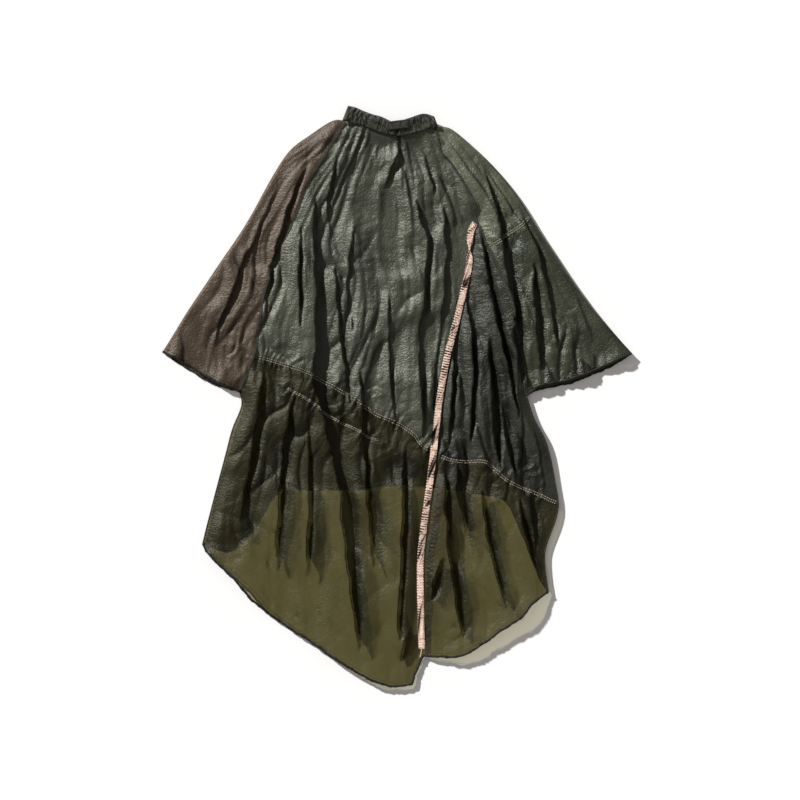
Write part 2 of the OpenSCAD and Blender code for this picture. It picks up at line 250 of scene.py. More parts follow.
# Deep valleys beside an overhanging fold on their west side: x, y and width from top to bottom
VALLEYS = [
    [(-200, 480, 8), (-198, 402, 14), (-194, 317, 22), (-189, 226, 30), (-187, 135, 33),
     (-186, 90, 40),
     (-186, 15, 42), (-170, -46, 34), (-155, -106, 32), (-143, -167, 32), (-131, -227, 32),
     (-120, -330, 26), (-112, -440, 20), (-104, -530, 14), (-98, -617, 7)],
    [(38, 480, 5), (50, 446, 14), (66, 420, 20), (78, 395, 18), (77, 340, 13), (70, 300, 15),
     (68, 232, 17),
     (63, 160, 18), (60, 87, 19), (60, 10, 17), (62, -58, 14), (58, -110, 8)],
    [(106, 470, 5), (117, 430, 12), (122, 390, 18), (124, 330, 20), (120, 270, 20), (114, 210, 14),
     (105, 150, 11), (98, 90, 10), (90, 20, 9), (84, -40, 6)],
    [(198, 408, 4), (212, 330, 10), (230, 240, 15), (246, 160, 16), (262, 90, 15), (276, 20, 12),
     (290, -60, 7)],
    [(160, 300, 4), (172, 220, 10), (180, 140, 13), (182, 60, 14), (178, -30, 12), (170, -120, 8)],
    [(-106, 420, 3), (-112, 350, 6), (-118, 290, 8), (-116, 220, 5), (-108, 150, 3)],
    [(-152, 330, 3), (-146, 250, 7), (-138, 170, 10), (-128, 90, 10), (-120, 20, 8),
     (-118, -30, 5)],
    [(-96, 70, 4), (-84, -20, 9), (-78, -120, 12), (-76, -220, 12), (-66, -330, 9), (-60, -420, 5)],
    [(-26, 250, 3), (-20, 160, 6), (-16, 60, 8), (-12, -20, 7), (-10, -70, 4)],
    [(18, -110, 5), (16, -200, 12), (12, -300, 14), (10, -400, 12), (4, -500, 12), (0, -600, 8)],
    [(-252, 20, 4), (-262, -60, 10), (-272, -150, 14), (-284, -240, 14), (-292, -340, 10),
     (-290, -430, 5)],
    [(-326, 70, 5), (-330, 0, 12), (-338, -80, 16), (-352, -160, 16), (-368, -240, 12),
     (-382, -310, 6)],
    [(-216, -60, 4), (-214, -160, 9), (-216, -260, 10), (-220, -360, 8), (-218, -440, 4)],
    [(112, -180, 5), (116, -260, 12), (124, -340, 16), (134, -430, 15), (146, -520, 11),
     (156, -590, 6)],
    [(200, -220, 5), (212, -300, 10), (226, -380, 12), (246, -460, 9), (262, -520, 4)],
    [(288, -240, 6), (302, -310, 14), (320, -370, 16), (338, -420, 10), (350, -450, 5)],
    [(246, -20, 4), (262, -90, 10), (276, -160, 12), (286, -210, 8)],
    [(232, 500, 4), (244, 440, 12), (256, 378, 20), (270, 300, 25), (282, 220, 27), (290, 130, 25),
     (298, 50, 16), (302, 15, 8)],
    [(286, 500, 4), (310, 430, 10), (340, 350, 15), (364, 270, 17), (378, 190, 15), (384, 110, 9)],
    [(352, 400, 3), (396, 320, 8), (436, 240, 11), (462, 160, 8), (476, 110, 4)],
    [(-220, 560, 4), (-252, 480, 11), (-278, 400, 15), (-300, 320, 13), (-316, 240, 8),
     (-326, 180, 4)],
    [(-290, 500, 3), (-338, 390, 7), (-384, 290, 9), (-420, 190, 9), (-446, 110, 5)],
    [(6, 628, 8), (6, 596, 15), (0, 566, 19), (-10, 538, 20), (-24, 512, 14), (-34, 494, 5)],
    [(318, -210, 8), (328, -270, 24), (338, -340, 30), (348, -400, 24), (352, -440, 10)],
    [(140, -160, 6), (146, -200, 22), (152, -240, 26), (160, -290, 16), (170, -340, 5)],
    [(216, 150, 5), (226, 60, 16), (232, -30, 20), (236, -110, 18), (244, -180, 8)],
    [(142, 250, 4), (146, 180, 9), (142, 100, 12), (134, 20, 12), (126, -60, 10), (124, -130, 5)],
    [(204, 560, 4), (222, 500, 10), (236, 450, 14), (240, 410, 8)],
    [(320, 330, 5), (334, 250, 16), (342, 170, 20), (344, 90, 12), (342, 50, 5)],
    [(-146, 590, 3), (-158, 530, 6), (-164, 480, 8), (-166, 430, 7), (-160, 380, 4)],
    [(60, 590, 3), (76, 550, 7), (84, 510, 9), (86, 480, 5)],
    [(34, -556, 10), (22, -590, 34), (8, -630, 22), (0, -650, 8)],
    [(104, -384, 8), (98, -420, 20), (88, -460, 24), (78, -500, 10)],
    [(-236, 420, 3), (-240, 330, 5), (-238, 240, 7), (-240, 160, 4)],
    [(322, -20, 3), (336, -90, 8), (350, -160, 10), (356, -230, 6)],
]
FOLD_SHARE = 0.55  # how much of each drawn fold's height is used
PUCKER = 9.5 * MM  # the height of the gathers at a stitched seam
COLLAR_TUCKS = 17  # how many small tucks fan out in each radian round the neck
COLLAR_TUCK = 6.0 * MM  # their height
COLLAR_MIDDLE = np.array([-8, 700]) * MM
CLOSED_EDGES = ("left_outer", "left_side", "right_side", "right_outer")
EDGE_Z = 0.9 * MM  # where the front and the back meet along a closed edge
BAND_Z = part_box("collar_band_front_left")[0][2]
HIGHEST = 29 * MM  # how far the front cloth can stand above a closed edge
SUNK, SOFT = 13 * MM, 4 * MM  # the drawn folds sink this far, and level off over so much
PLEATS = ((3.6, 15, 21), (8.5, 8.5, 24), (18, 3.0, 27))  # how many on each side, height in mm, seed
# Crumples: size of their pattern in metres, height in millimetres, how far it is turned, seed
CRUMPLES = ((0.105, 13, -0.5, 59), (0.062, 8.5, 0.6, 61), (0.036, 4.6, -0.9, 63),
            (0.020, 2.3, 1.2, 65), (0.011, 0.9, 0.2, 67))
LEAN = 0.42  # how far a fold leans east for each unit of its height


def near_to(points, line, reach):
    """True for the points in the box round a line, made larger by reach."""
    return np.all((points > line.min(0) - reach) & (points < line.max(0) + reach), axis=1)


def fold_height(points, height, west, east, path):
    """The height that one fold adds: a crest that fades at its two ends."""
    line = smooth(path)
    near = near_to(points, line, 3 * max(west, east) * MM)
    signed, along = nearest(points[near], line)
    length = along_path(line)[0][-1]
    ends = min(0.09, 0.3 * length)
    fade = ease(along / ends) * ease((length - along) / ends)
    width = np.where(signed > 0, east, west) * MM * FOLD_SPREAD
    total = np.zeros(len(points))
    total[near] = height * MM * fade * np.exp(-np.abs(signed / width) ** 1.5)
    return total


def flow(points):
    """How far across the cape a point is, from -1 at its west side to 1 at its east side."""
    heights = np.array([-700, -350, 0, 200, 400, 560, 660]) * MM
    middle = np.interp(points[:, 1], heights, np.array([10, -40, -32, -30, -28, -18, -10]) * MM)
    half = np.interp(points[:, 1], heights, np.array([470, 425, 350, 320, 250, 170, 105]) * MM)
    return (points[:, 0] - middle) / half


def gap_to(points, names):
    """Distance to the nearest of some edges of the outline."""
    return np.minimum.reduce([np.abs(nearest(points, EDGES[name])[0]) for name in names])


def pleats(points, count, size, seed):
    """Long rounded folds with sharp valleys: their height, and where the cloth doubles back, a mask
    that is later given painted shade.
    """
    across = flow(points)
    wander = 1.0 * value_noise(across * 2.6 + 7, points[:, 1] / 0.22, seed)
    wander = wander + 0.3 * value_noise(across * 6, points[:, 1] / 0.09, seed + 2)
    at = (across + 2) * count + wander
    band = np.floor(at)
    share = at - band
    uneven = value_noise(band * 0.73 + 3, points[:, 1] / 0.24, seed + 1)
    strength = np.clip(0.5 + 0.85 * uneven, 0, 1)
    bump = np.sin(np.pi * share**0.85) ** 0.62
    tuck_and_painted_shade = ease((share - 0.74) / 0.05) * ease((strength - 0.62) / 0.12)
    return size * MM * bump * strength, tuck_and_painted_shade


def valley(points, stations):
    """How deep in a valley each point is, from 0 to 1, and the fold height on its west side."""
    stations = np.array(stations, float)
    line = smooth(stations[:, :2])
    near = near_to(points, line, 90 * MM)
    deep, crest = np.zeros(len(points)), np.zeros(len(points))
    signed, along = nearest(points[near], line)
    run, _ = along_path(line)
    at, old = np.linspace(0, 1, len(line)), np.linspace(0, 1, len(stations))
    widths = np.interp(at, old, stations[:, 2])
    width = np.interp(along, run, widths) * MM
    ends = ease(along / (25 * MM)) * ease((run[-1] - along) / (25 * MM))
    width = width * (0.3 + 0.7 * ease(along / (75 * MM)) * ease((run[-1] - along) / (75 * MM)))
    width = width * (1 + 0.3 * value_noise(along / 0.045, width * 0 + 4, int(abs(stations[0, 1]))))
    wobble = 2.2 * MM * value_noise(along / 0.03, width * 0 + 1, int(abs(stations[0, 0])))
    signed = signed + wobble
    soft = np.where(signed > 0, 4 * MM + 0.75 * width, 3 * MM)
    deep[near] = ease((width / 2 + 0.45 * soft - np.abs(signed)) / soft) * ends
    west = -signed - width / 2
    tall = (5 * MM + 0.42 * width) * ends
    crest[near] = tall * np.where(west > 0, np.exp(-(np.abs(west) / (8 * MM + 1.0 * width)) ** 1.4),
                                  ease(1 + west / (2.5 * MM)))
    return deep, crest


def crumples(points):
    """Small sharp creases in scattered patches."""
    x, y = points[:, 0], points[:, 1]
    total = np.zeros(len(points))
    for wave, size, turn, seed in CRUMPLES:
        cos, sin = math.cos(turn), math.sin(turn)
        turned = points @ np.array([[cos, sin], [-sin, cos]])
        bend = 0.5 * value_noise(x / (1.7 * wave), y / (1.7 * wave), seed + 20)
        n = value_noise(turned[:, 0] / wave + bend, turned[:, 1] / (2.0 * wave) + bend, seed)
        patch = ease(0.45 + 1.1 * value_noise(x / 0.08 + seed, y / 0.12, seed + 1))
        total += size * MM * np.abs(n) ** 0.6 * patch
    return total


def edge_lift(points):
    """How far the closed edges and hems stand off the floor."""
    uneven = value_noise(points[:, 0] / 0.11 + 3, points[:, 1] / 0.11, 52)
    return (3.0 + 2.2 * uneven + 6.5 * ease((points[:, 0] - 0.02) / 0.3)) * MM


def drawn_height(points):
    """The height of the front cloth, its tucked share, which is painted shade in its tucks and
    valleys and less see-through cloth there, and its distance to the closed edges.
    """
    x, y = points[:, 0], points[:, 1]
    closed = closed_gap(points)
    mouth = gap_to(points, ("left_mouth", "right_mouth"))
    hem = gap_to(points, ("main_hem", "side_hem", "hem_slit"))
    double = ease(nearest(points, back_hem)[0] / (30 * MM) + 0.5)
    rise = ease(closed / (34 * MM))
    warp = 0.012 * np.stack([value_noise(x / 0.13, y / 0.13, seed) for seed in (55, 56)], 1)
    height = (1.0 + 2.5 * double) * MM * rise
    ripple = value_noise(x / 0.045, y / 0.2, 51)
    height = height + (3.5 + 2.5 * ripple) * MM * np.exp(-mouth / (25 * MM)) * rise
    lift = edge_lift(points)
    by_edge = np.exp(-(closed / (50 * MM)) ** 2)
    height = height + lift * np.maximum(by_edge, np.exp(-(hem / (45 * MM)) ** 2))
    tuck_and_painted_shade = np.zeros(len(points))
    calm = 1 - 0.6 * np.exp(-((x + 0.05) / 0.11) ** 2 - ((y - 0.33) / 0.2) ** 2)
    puff = value_noise(x / 0.075, y / 0.16, 57)
    height = height + 4.5 * MM * (0.5 + puff) * (2.2 - 1.2 * double) * rise
    for fold in FOLDS:
        height = height + FOLD_SHARE * fold_height(points, *fold)
    for count, size, seed in PLEATS:
        more, pleat_tuck_shade = pleats(points + warp, count, size, seed)
        height = height + more * rise * (0.62 + 0.38 * double) * calm
        # where a pleat doubles back: less see-through cloth, and painted shade in its colour
        tuck_and_painted_shade = np.maximum(tuck_and_painted_shade, pleat_tuck_shade * rise * calm * double * (size > 4))
    # fine tucks below the collar and on both sides of the waist seam
    away = np.linalg.norm(points - COLLAR_MIDDLE, axis=1)
    turn = np.arctan2(points[:, 0] - COLLAR_MIDDLE[0], COLLAR_MIDDLE[1] - points[:, 1])
    tucks = np.abs(value_noise(turn * COLLAR_TUCKS, away / 0.2, 31)) ** 0.7
    height = height + COLLAR_TUCK * tucks * np.exp(-((away - 0.06) / 0.10) ** 2)
    height = height + crumples(points) * rise
    deepest = np.zeros(len(points))
    for stations in VALLEYS:
        deep, crest = valley(points, stations)
        height = height + crest * rise
        deepest = np.maximum(deepest, deep)
    floor = (0.5 + 2.2 * double) * MM * rise + lift * by_edge
    height = height - SUNK * rise * double
    height = 0.5 * (height + np.sqrt(height**2 + SOFT**2))
    height = HIGHEST * np.tanh(height / HIGHEST)
    join = nearest(points, SEAMS["join"])[0]
    height = height * (1 - 0.6 * np.exp(-(join / np.where(join < 0, 26 * MM, 13 * MM)) ** 2))
    neck = gap_to(points, ("neck",))
    height = np.maximum(height, (BAND_Z - 3 * MM) * np.exp(-((neck / (34 * MM)) ** 2)) * rise)
    for line, seed in ((SEAMS["waist"], 41), (gathering, 42), (SEAMS["cross"], 43)):
        gap, along = nearest(points, line)
        bent = along / 0.0105 + 1.2 * value_noise(along / 0.05, gap / 0.03, 44)
        puckers = np.abs(value_noise(bent, gap / 0.06, seed)) ** 0.7 - 0.45
        height = height + PUCKER * puckers * np.exp(-np.abs(gap) / (34 * MM)) * rise
        height = height - 2.2 * MM * np.exp(-(gap / (5 * MM)) ** 2) * rise
    height = height * (1 - 0.93 * deepest * rise) + floor * deepest * rise
    height = np.maximum(height, floor)
    # painted shade in the deep valleys, weaker where the cloth is one layer
    dark = deepest**1.5 * rise * (0.35 + 0.65 * double)
    return EDGE_Z + height, np.maximum(tuck_and_painted_shade, dark), closed


# ---------------------------------------------------------------- the drawn cloth as a grid
def grid_over(step):
    """A square grid over the cape: its flat points and its shape."""
    margin = 3 * step
    xs = np.arange(cad_low[0] - margin, cad_high[0] + margin, step)
    ys = np.arange(cad_low[1] - margin, cad_high[1] + margin, step)
    x, y = np.meshgrid(xs, ys)
    return np.stack([x.ravel(), y.ravel()], 1), x.shape


def sampled(field, step, points):
    """Values of a grid field at any flat points."""
    low = np.array([cad_low[0] - 3 * step, cad_low[1] - 3 * step])
    at = (points - low) / step
    rows, columns = field.shape[:2]
    i = np.clip(np.floor(at[:, 0]).astype(int), 0, columns - 2)
    j = np.clip(np.floor(at[:, 1]).astype(int), 0, rows - 2)
    u, v = (at[:, 0] - i)[:, None], (at[:, 1] - j)[:, None]
    return ((field[j, i] * (1 - u) + field[j, i + 1] * u) * (1 - v)
            + (field[j + 1, i] * (1 - u) + field[j + 1, i + 1] * u) * v)


def closed_gap(points):
    """Distance to the nearest closed edge, read off a grid."""
    return sampled(CLOSED_GRID, GRID_STEP, points)[:, 0]


def back_height(points):
    """The back cloth lies almost flat, in low soft folds."""
    closed = closed_gap(points)
    across = flow(points)
    folds = 1.0 - np.abs(value_noise(across * 13, points[:, 1] / 0.3, 71))
    folds = folds + 0.5 * value_noise(across * 29, points[:, 1] / 0.15, 72)
    lift = edge_lift(points) * np.exp(-(closed / (28 * MM)) ** 2)
    return EDGE_Z - 0.3 * MM + lift + 1.3 * MM * ease(closed / (40 * MM)) * np.clip(folds, 0, 1.5)


def mouth_gap(points):
    """How far the front cloth is pulled back from the sleeve mouths, so that they gape."""
    moved = np.zeros_like(points)
    ends = ease(closed_gap(points) / (45 * MM))
    for name in ("left_mouth", "right_mouth"):
        path = EDGES[name]
        ahead = (path[-1] - path[0]) / np.linalg.norm(path[-1] - path[0])
        out = np.array([ahead[1], -ahead[0]])
        near = np.exp(-np.abs(nearest(points, path)[0]) / (35 * MM)) * ends
        moved += near[:, None] * out * 9 * MM
    return moved


def closed_grid():
    flat, shape = grid_over(GRID_STEP)
    return gap_to(flat, CLOSED_EDGES).reshape(*shape, 1)


CLOSED_GRID = closed_grid()


def drawn_front():
    """The front cloth as a grid of where each flat point goes, with its tucked share, the painted
    shade of its tucks, valleys and steep flanks, beside it.
    """
    flat, shape = grid_over(GRID_STEP)
    edge = gap_to(flat, EDGES)
    wanted = (edge < 12 * MM) | inside(flat, OUTLINE)
    grid = np.column_stack([flat, np.full(len(flat), EDGE_Z), np.zeros(len(flat))])
    points = flat[wanted]
    height, tuck_and_painted_shade, closed = drawn_height(points)
    lean = LEAN * (height - EDGE_Z) * ease(closed / (50 * MM)) * ease(edge[wanted] / (40 * MM))
    placed = points - mouth_gap(points)
    placed[:, 0] += lean
    grid[wanted] = np.column_stack([placed, height, tuck_and_painted_shade])
    grid = grid.reshape(*shape, 4)
    # where one layer stands steeply, it is made less see-through, as more thread stands in front of
    # the light, and it is also given painted shade through its tucked share
    slope = np.hypot(*np.gradient(grid[..., 2], GRID_STEP))
    single = ease(0.5 - nearest(flat, back_hem)[0] / (30 * MM)).reshape(shape)
    grid[..., 3] = np.maximum(grid[..., 3], 0.8 * single * ease((slope - 0.2) / 0.6))
    return grid


# ---------------------------------------------------------------- meshes
PIECES = {}


def new_mesh(name, points, faces, flat):
    """A mesh object with smooth faces. UV map Flat has each point's place on the flat cloth."""
    faces = np.asarray(faces, np.int32)
    mesh = bpy.data.meshes.new(name)
    mesh.vertices.add(len(points))
    mesh.vertices.foreach_set("co", np.asarray(points, np.float32).ravel())
    mesh.loops.add(faces.size)
    mesh.loops.foreach_set("vertex_index", faces.ravel())
    mesh.polygons.add(len(faces))
    mesh.polygons.foreach_set("loop_start", np.arange(len(faces), dtype=np.int32) * faces.shape[1])
    mesh.polygons.foreach_set("loop_total", np.full(len(faces), faces.shape[1], np.int32))
    mesh.polygons.foreach_set("use_smooth", np.ones(len(faces), bool))
    mesh.update(calc_edges=True)
    layer = mesh.uv_layers.new(name="Flat")
    layer.data.foreach_set("uv", np.asarray(flat, np.float32)[faces.ravel()].ravel())
    piece = PIECES[name] = bpy.data.objects.new(name, mesh)
    bpy.context.scene.collection.objects.link(piece)
    return piece


def clear_of(points, paths, step, low):
    """True for the points further than about half a step from every path."""
    cell = step / 2
    near = np.zeros(((points.max(0) - low) / cell + 9).astype(int), bool)
    for path in paths:
        at = ((resample(path, cell / 2) - low) / cell + 3).astype(int)
        for i in (-1, 0, 1):
            for j in (-1, 0, 1):
                near[np.clip(at[:, 0] + i, 0, near.shape[0] - 1),
                     np.clip(at[:, 1] + j, 0, near.shape[1] - 1)] = True
    at = ((points - low) / cell + 3).astype(int)
    return ~near[at[:, 0], at[:, 1]]


def triangulated(outline, lines, step):
    """A triangle mesh of a flat outline with edges along the given lines."""
    low, high = outline.min(0), outline.max(0)
    rows = np.arange(low[1], high[1], step * math.sqrt(3) / 2)
    columns = np.arange(low[0], high[0], step)
    x, y = np.meshgrid(columns, rows)
    x = x + (np.arange(len(rows)) % 2)[:, None] * step / 2
    lattice = np.stack([x.ravel(), y.ravel()], 1)
    lattice = lattice[inside(lattice, outline)]
    paths = [resample(np.vstack([outline, outline[:1]]), step)]
    paths += [resample(line, step) for line in lines]
    lattice = lattice[clear_of(lattice, paths, step, low)]
    points, edges, start = [], [], 0
    for path in paths:
        points.append(path)
        edges += [(start + k, start + k + 1) for k in range(len(path) - 1)]
        start += len(path)
    points = np.vstack(points + [lattice])
    vectors = [Vector(p) for p in points]
    verts, _, faces, *_ = geometry.delaunay_2d_cdt(vectors, edges, [], 0, 1e-6)
    verts = np.array([tuple(v) for v in verts])
    faces = np.array(faces)
    return verts, faces[inside(verts[faces].mean(1), outline)]


def part_of(verts, faces, keep):
    """The triangles whose middles are kept, with only their own points."""
    kept = faces[keep(verts[faces].mean(1))]
    used, index = np.unique(kept, return_inverse=True)
    return verts[used], index.reshape(-1, 3)


def along_path(path):
    """The distance run along a path, and its unit direction at each point."""
    step = np.gradient(path, axis=0)
    step /= np.linalg.norm(step, axis=1)[:, None] + 1e-12
    return np.r_[0, np.cumsum(np.linalg.norm(np.diff(path, axis=0), axis=1))], step


def grid_faces(rows, columns, wrap=False):
    """Four-sided faces between the points of a grid, closed round its columns if wrap is set."""
    across = columns if wrap else columns - 1
    i, j = np.meshgrid(np.arange(rows - 1) * columns, np.arange(across), indexing="ij")
    k = (j + 1) % columns
    return np.stack([i + j, i + k, i + columns + k, i + columns + j], -1).reshape(-1, 4)


def tube(path, wide, tall=None, sides=8):
    """A round or oval tube along a path in space, as points, faces and flat places."""
    path = np.asarray(path, float)
    run, ahead = along_path(path)
    side = np.cross(ahead, (0, 0, 1.0))
    side /= np.linalg.norm(side, axis=1)[:, None] + 1e-12
    up = np.cross(side, ahead)
    turn = np.linspace(0, 2 * np.pi, sides, endpoint=False)
    wide = np.broadcast_to(wide, len(path))[:, None, None]
    tall = wide if tall is None else np.broadcast_to(tall, len(path))[:, None, None]
    rings = (path[:, None] + wide * np.cos(turn)[None, :, None] * side[:, None]
             + tall * np.sin(turn)[None, :, None] * up[:, None])
    flat = np.stack(np.broadcast_arrays(run[:, None], turn[None] * 0.004), -1)
    return rings.reshape(-1, 3), grid_faces(len(path), sides, True), flat.reshape(-1, 2)


def strip(path, offsets, lifts, surface):
    """A strip beside a flat path on a surface: offsets across it and the lift at each of them."""
    run, _ = along_path(path)
    rows = [surface(beside(path, d), lift) for d, lift in zip(offsets, lifts)]
    points = np.stack(rows, 1)
    flat = np.stack(np.broadcast_arrays(run[:, None], np.asarray(offsets)[None]), -1)
    return points.reshape(-1, 3), grid_faces(len(path), len(offsets)), flat.reshape(-1, 2)


def stitches(path, surface, length=3.8 * MM, pitch=5.6 * MM, radius=0.85 * MM, lift=0.3 * MM):
    """A row of short thread stitches along a flat path."""
    run, _ = along_path(path)
    middles = np.arange(pitch, run[-1] - pitch, pitch)
    middles = middles + rng.uniform(-0.08, 0.08, len(middles)) * pitch
    places = np.array([-1, -0.55, 0.55, 1]) * length / 2
    at = middles[:, None] + places[None]
    flat = np.stack([np.interp(at.ravel(), run, path[:, k]) for k in (0, 1)], 1)
    dips = np.tile([-0.5, 1, 1, -0.5], len(middles)) * radius * 0.6
    spine = surface(flat, lift).reshape(-1, 4, 3)
    spine[..., 2] += dips.reshape(-1, 4)
    ahead = spine[:, -1] - spine[:, 0]
    ahead /= np.linalg.norm(ahead, axis=1)[:, None]
    side = np.cross(ahead, (0, 0, 1.0))
    up = np.cross(side, ahead)
    sides = 5
    turn = np.linspace(0, 2 * np.pi, sides, endpoint=False)
    thick = np.array([0.45, 1, 1, 0.45]) * radius
    rings = (spine[:, :, None] + thick[None, :, None, None] * (
        np.cos(turn)[None, None, :, None] * side[:, None, None]
        + np.sin(turn)[None, None, :, None] * up[:, None, None]))
    one = grid_faces(4, sides, True)
    faces = (np.arange(len(middles))[:, None, None] * 4 * sides + one[None]).reshape(-1, 4)
    return rings.reshape(-1, 3), faces, rings.reshape(-1, 3)[:, :2]


def build(name, parts, finish, closed=False):
    """One piece out of several parts. closed fills the ends of its tubes."""
    points, faces, flats, count = [], [], [], 0
    for verts, quads, flat in parts:
        points.append(verts)
        faces.append(quads + count)
        flats.append(flat)
        count += len(verts)
    piece = new_mesh(name, np.vstack(points), np.vstack(faces), np.vstack(flats))
    if closed:
        mesh = bmesh.new()
        mesh.from_mesh(piece.data)
        bmesh.ops.holes_fill(mesh, edges=[e for e in mesh.edges if e.is_boundary], sides=0)
        mesh.to_mesh(piece.data)
        mesh.free()
    piece.data.materials.append(finish)


def beside(path, distance):
    """A flat path moved to its left by a distance, one for each point or one for all."""
    _, ahead = along_path(np.asarray(path, float))
    left = np.stack([-ahead[:, 1], ahead[:, 0]], 1)
    return path + left * np.broadcast_to(distance, len(path))[:, None]


# ---------------------------------------------------------------- materials
def material(name):
    made = bpy.data.materials.new(name)
    made.use_nodes = True
    tree = made.node_tree
    tree.nodes.clear()
    return made, tree


def node(tree, kind, sockets, **settings):
    """A shader node. Each of its sockets is given a constant, or an output to be linked to."""
    made = tree.nodes.new(kind)
    for key, value in settings.items():
        setattr(made, key, value)
    for key, value in sockets.items():
        if isinstance(value, bpy.types.NodeSocket):
            tree.links.new(value, made.inputs[key])
        else:
            made.inputs[key].default_value = value
    return made


def flat_place(tree):
    return node(tree, "ShaderNodeUVMap", {}, uv_map="Flat").outputs["UV"]


def noise(tree, scale, detail, roughness=0.5):
    """Noise over the flat cloth."""
    return node(tree, "ShaderNodeTexNoise", {"Vector": flat_place(tree), "Scale": scale,
                                             "Detail": detail, "Roughness": roughness}).outputs


def threads(tree, scale, distortion):
    """Slanting fine ribs over the flat cloth."""
    sockets = {"Vector": flat_place(tree), "Scale": scale, "Distortion": distortion}
    return node(tree, "ShaderNodeTexWave", sockets, wave_type="BANDS",
                bands_direction="DIAGONAL").outputs["Fac"]


def ramp(tree, value, low, dark, high, light):
    """A colour that runs from dark to light between two values."""
    made = node(tree, "ShaderNodeValToRGB", {"Fac": value})
    for stop, at, colour in zip(made.color_ramp.elements, (low, high), (dark, light)):
        stop.position = at
        stop.color = (*colour, 1)
    return made.outputs["Color"]


def between(tree, value, low, high):
    sockets = {"Value": value, "To Min": low, "To Max": high}
    return node(tree, "ShaderNodeMapRange", sockets).outputs["Result"]


def bump(tree, height, strength, distance, under=None):
    """The normal of a rough surface, on top of another bump's normal if there is one."""
    sockets = {"Height": height, "Strength": strength, "Distance": distance}
    if under is not None:
        sockets["Normal"] = under
    return node(tree, "ShaderNodeBump", sockets).outputs["Normal"]


def ends_in(tree, shader):
    node(tree, "ShaderNodeOutputMaterial", {"Surface": shader})


PAINTED_TUCK_SHADE = 0.3  # how dark the painted shade makes the cloth inside a tuck or valley, as a share of its own dark colour


def nylon(name, dark, light, tint, open_share, roughness=0.38, shine=0.5):
    """Thin glossy cloth: crinkled, ripstop-woven and partly see-through, with painted shade where
    its tucked share is high.
    """
    made, tree = material(name)
    bent = node(tree, "ShaderNodeMix", {"Factor": 0.05, 4: flat_place(tree),
                                        5: noise(tree, 18.0, 4.0)["Color"]}, data_type="VECTOR")
    crinkle = node(tree, "ShaderNodeTexVoronoi", {"Vector": bent.outputs[1], "Scale": 46.0},
                   feature="DISTANCE_TO_EDGE")
    fine = noise(tree, 200.0, 4.0, 0.6)["Fac"]
    blotches = noise(tree, 9.0, 5.0, 0.62)["Fac"]
    grain = noise(tree, 360.0, 3.0, 0.7)["Fac"]
    patchy = node(tree, "ShaderNodeMix", {"Factor": 0.45, 2: blotches, 3: grain}, data_type="FLOAT")
    colours = ramp(tree, patchy.outputs[0], 0.36, dark, 0.65, light)
    # painted shade: darker, and closer, where the cloth is tucked into a fold, lies in a valley or
    # stands steeply
    tuck_and_painted_shade = node(tree, "ShaderNodeAttribute", {}, attribute_name="tuck_and_painted_shade").outputs["Fac"]
    shadow = (*(part * PAINTED_TUCK_SHADE for part in dark), 1)
    deep = node(tree, "ShaderNodeMix", {"Factor": tuck_and_painted_shade, 6: colours, 7: shadow}, data_type="RGBA")
    opening = between(tree, tuck_and_painted_shade, open_share, open_share * 0.25)
    normal = bump(tree, crinkle.outputs["Distance"], 0.35, 0.0032)
    normal = bump(tree, fine, 0.8, 0.0026, normal)
    normal = bump(tree, threads(tree, 420.0, 0.4), 0.12, 0.0003, normal)
    cloth = node(tree, "ShaderNodeBsdfPrincipled", {
        "Base Color": deep.outputs[2],
        "Roughness": between(tree, fine, roughness - 0.06, roughness + 0.12),
        "Normal": normal,
        "Sheen Weight": 0.12, "Sheen Roughness": 0.4, "Sheen Tint": (*light, 1),
        "Specular IOR Level": shine,
        "Specular Tint": (*(0.55 + 0.45 * part / max(light) for part in light), 1)})
    through = node(tree, "ShaderNodeBsdfTransparent", {"Color": (*tint, 1)})
    mix = node(tree, "ShaderNodeMixShader", {0: opening, 1: cloth.outputs["BSDF"],
                                             2: through.outputs["BSDF"]})
    ends_in(tree, mix.outputs["Shader"])
    return made


OLIVE = (0.86, 0.80, 0.46)
BODY_NYLON = nylon("body_nylon", (0.019, 0.022, 0.014), (0.070, 0.074, 0.052), OLIVE,
                   0.10, 0.37, 0.6)
# a darker copy of the body nylon: painted shade over the whole upper side panel
PAINTED_SHADE_SIDE_NYLON = nylon("side_nylon", (0.007, 0.008, 0.006), (0.032, 0.034, 0.025), OLIVE,
                   0.08, 0.36, 0.35)
SLEEVE_NYLON = nylon("sleeve_nylon", (0.007, 0.009, 0.005), (0.056, 0.061, 0.039), OLIVE,
                     0.06, 0.34)
SKIRT_NYLON = nylon("skirt_nylon", (0.006, 0.006, 0.003), (0.028, 0.027, 0.014), OLIVE,
                    0.30, 0.38, 0.3)
BROWN_NYLON = nylon("brown_nylon", (0.030, 0.021, 0.014), (0.088, 0.064, 0.042),
                    (0.8, 0.62, 0.42), 0.22, 0.40)
GREEN_NYLON = nylon("green_nylon", (0.022, 0.026, 0.015), (0.130, 0.140, 0.094), OLIVE,
                    0.08, 0.32)


def cloth_trim(name, dark, light, roughness=0.7, ribs=900.0, printed=False):
    """Binding, thread or tape: a fine woven finish, with plain printed marks if asked for."""
    made, tree = material(name)
    patches = noise(tree, 130.0, 4.0)["Fac"]
    colours = ramp(tree, patches, 0.34, dark, 0.68, light)
    if printed:
        colours = node(tree, "ShaderNodeMix", {"Factor": tick_marks(tree), 6: colours,
                                               7: (*PRINT_COLOUR, 1)}, data_type="RGBA").outputs[2]
    normal = bump(tree, patches, 0.5, 0.0012, bump(tree, threads(tree, ribs, 1.5), 0.5, 0.0006))
    shader = node(tree, "ShaderNodeBsdfPrincipled", {
        "Base Color": colours, "Normal": normal, "Roughness": roughness,
        "Specular IOR Level": 0.22})
    ends_in(tree, shader.outputs["BSDF"])
    return made


def maths(tree, operation, first, second=0):
    """A maths node on two values, each a socket or a number."""
    return node(tree, "ShaderNodeMath", {0: first, 1: second}, operation=operation).outputs[0]


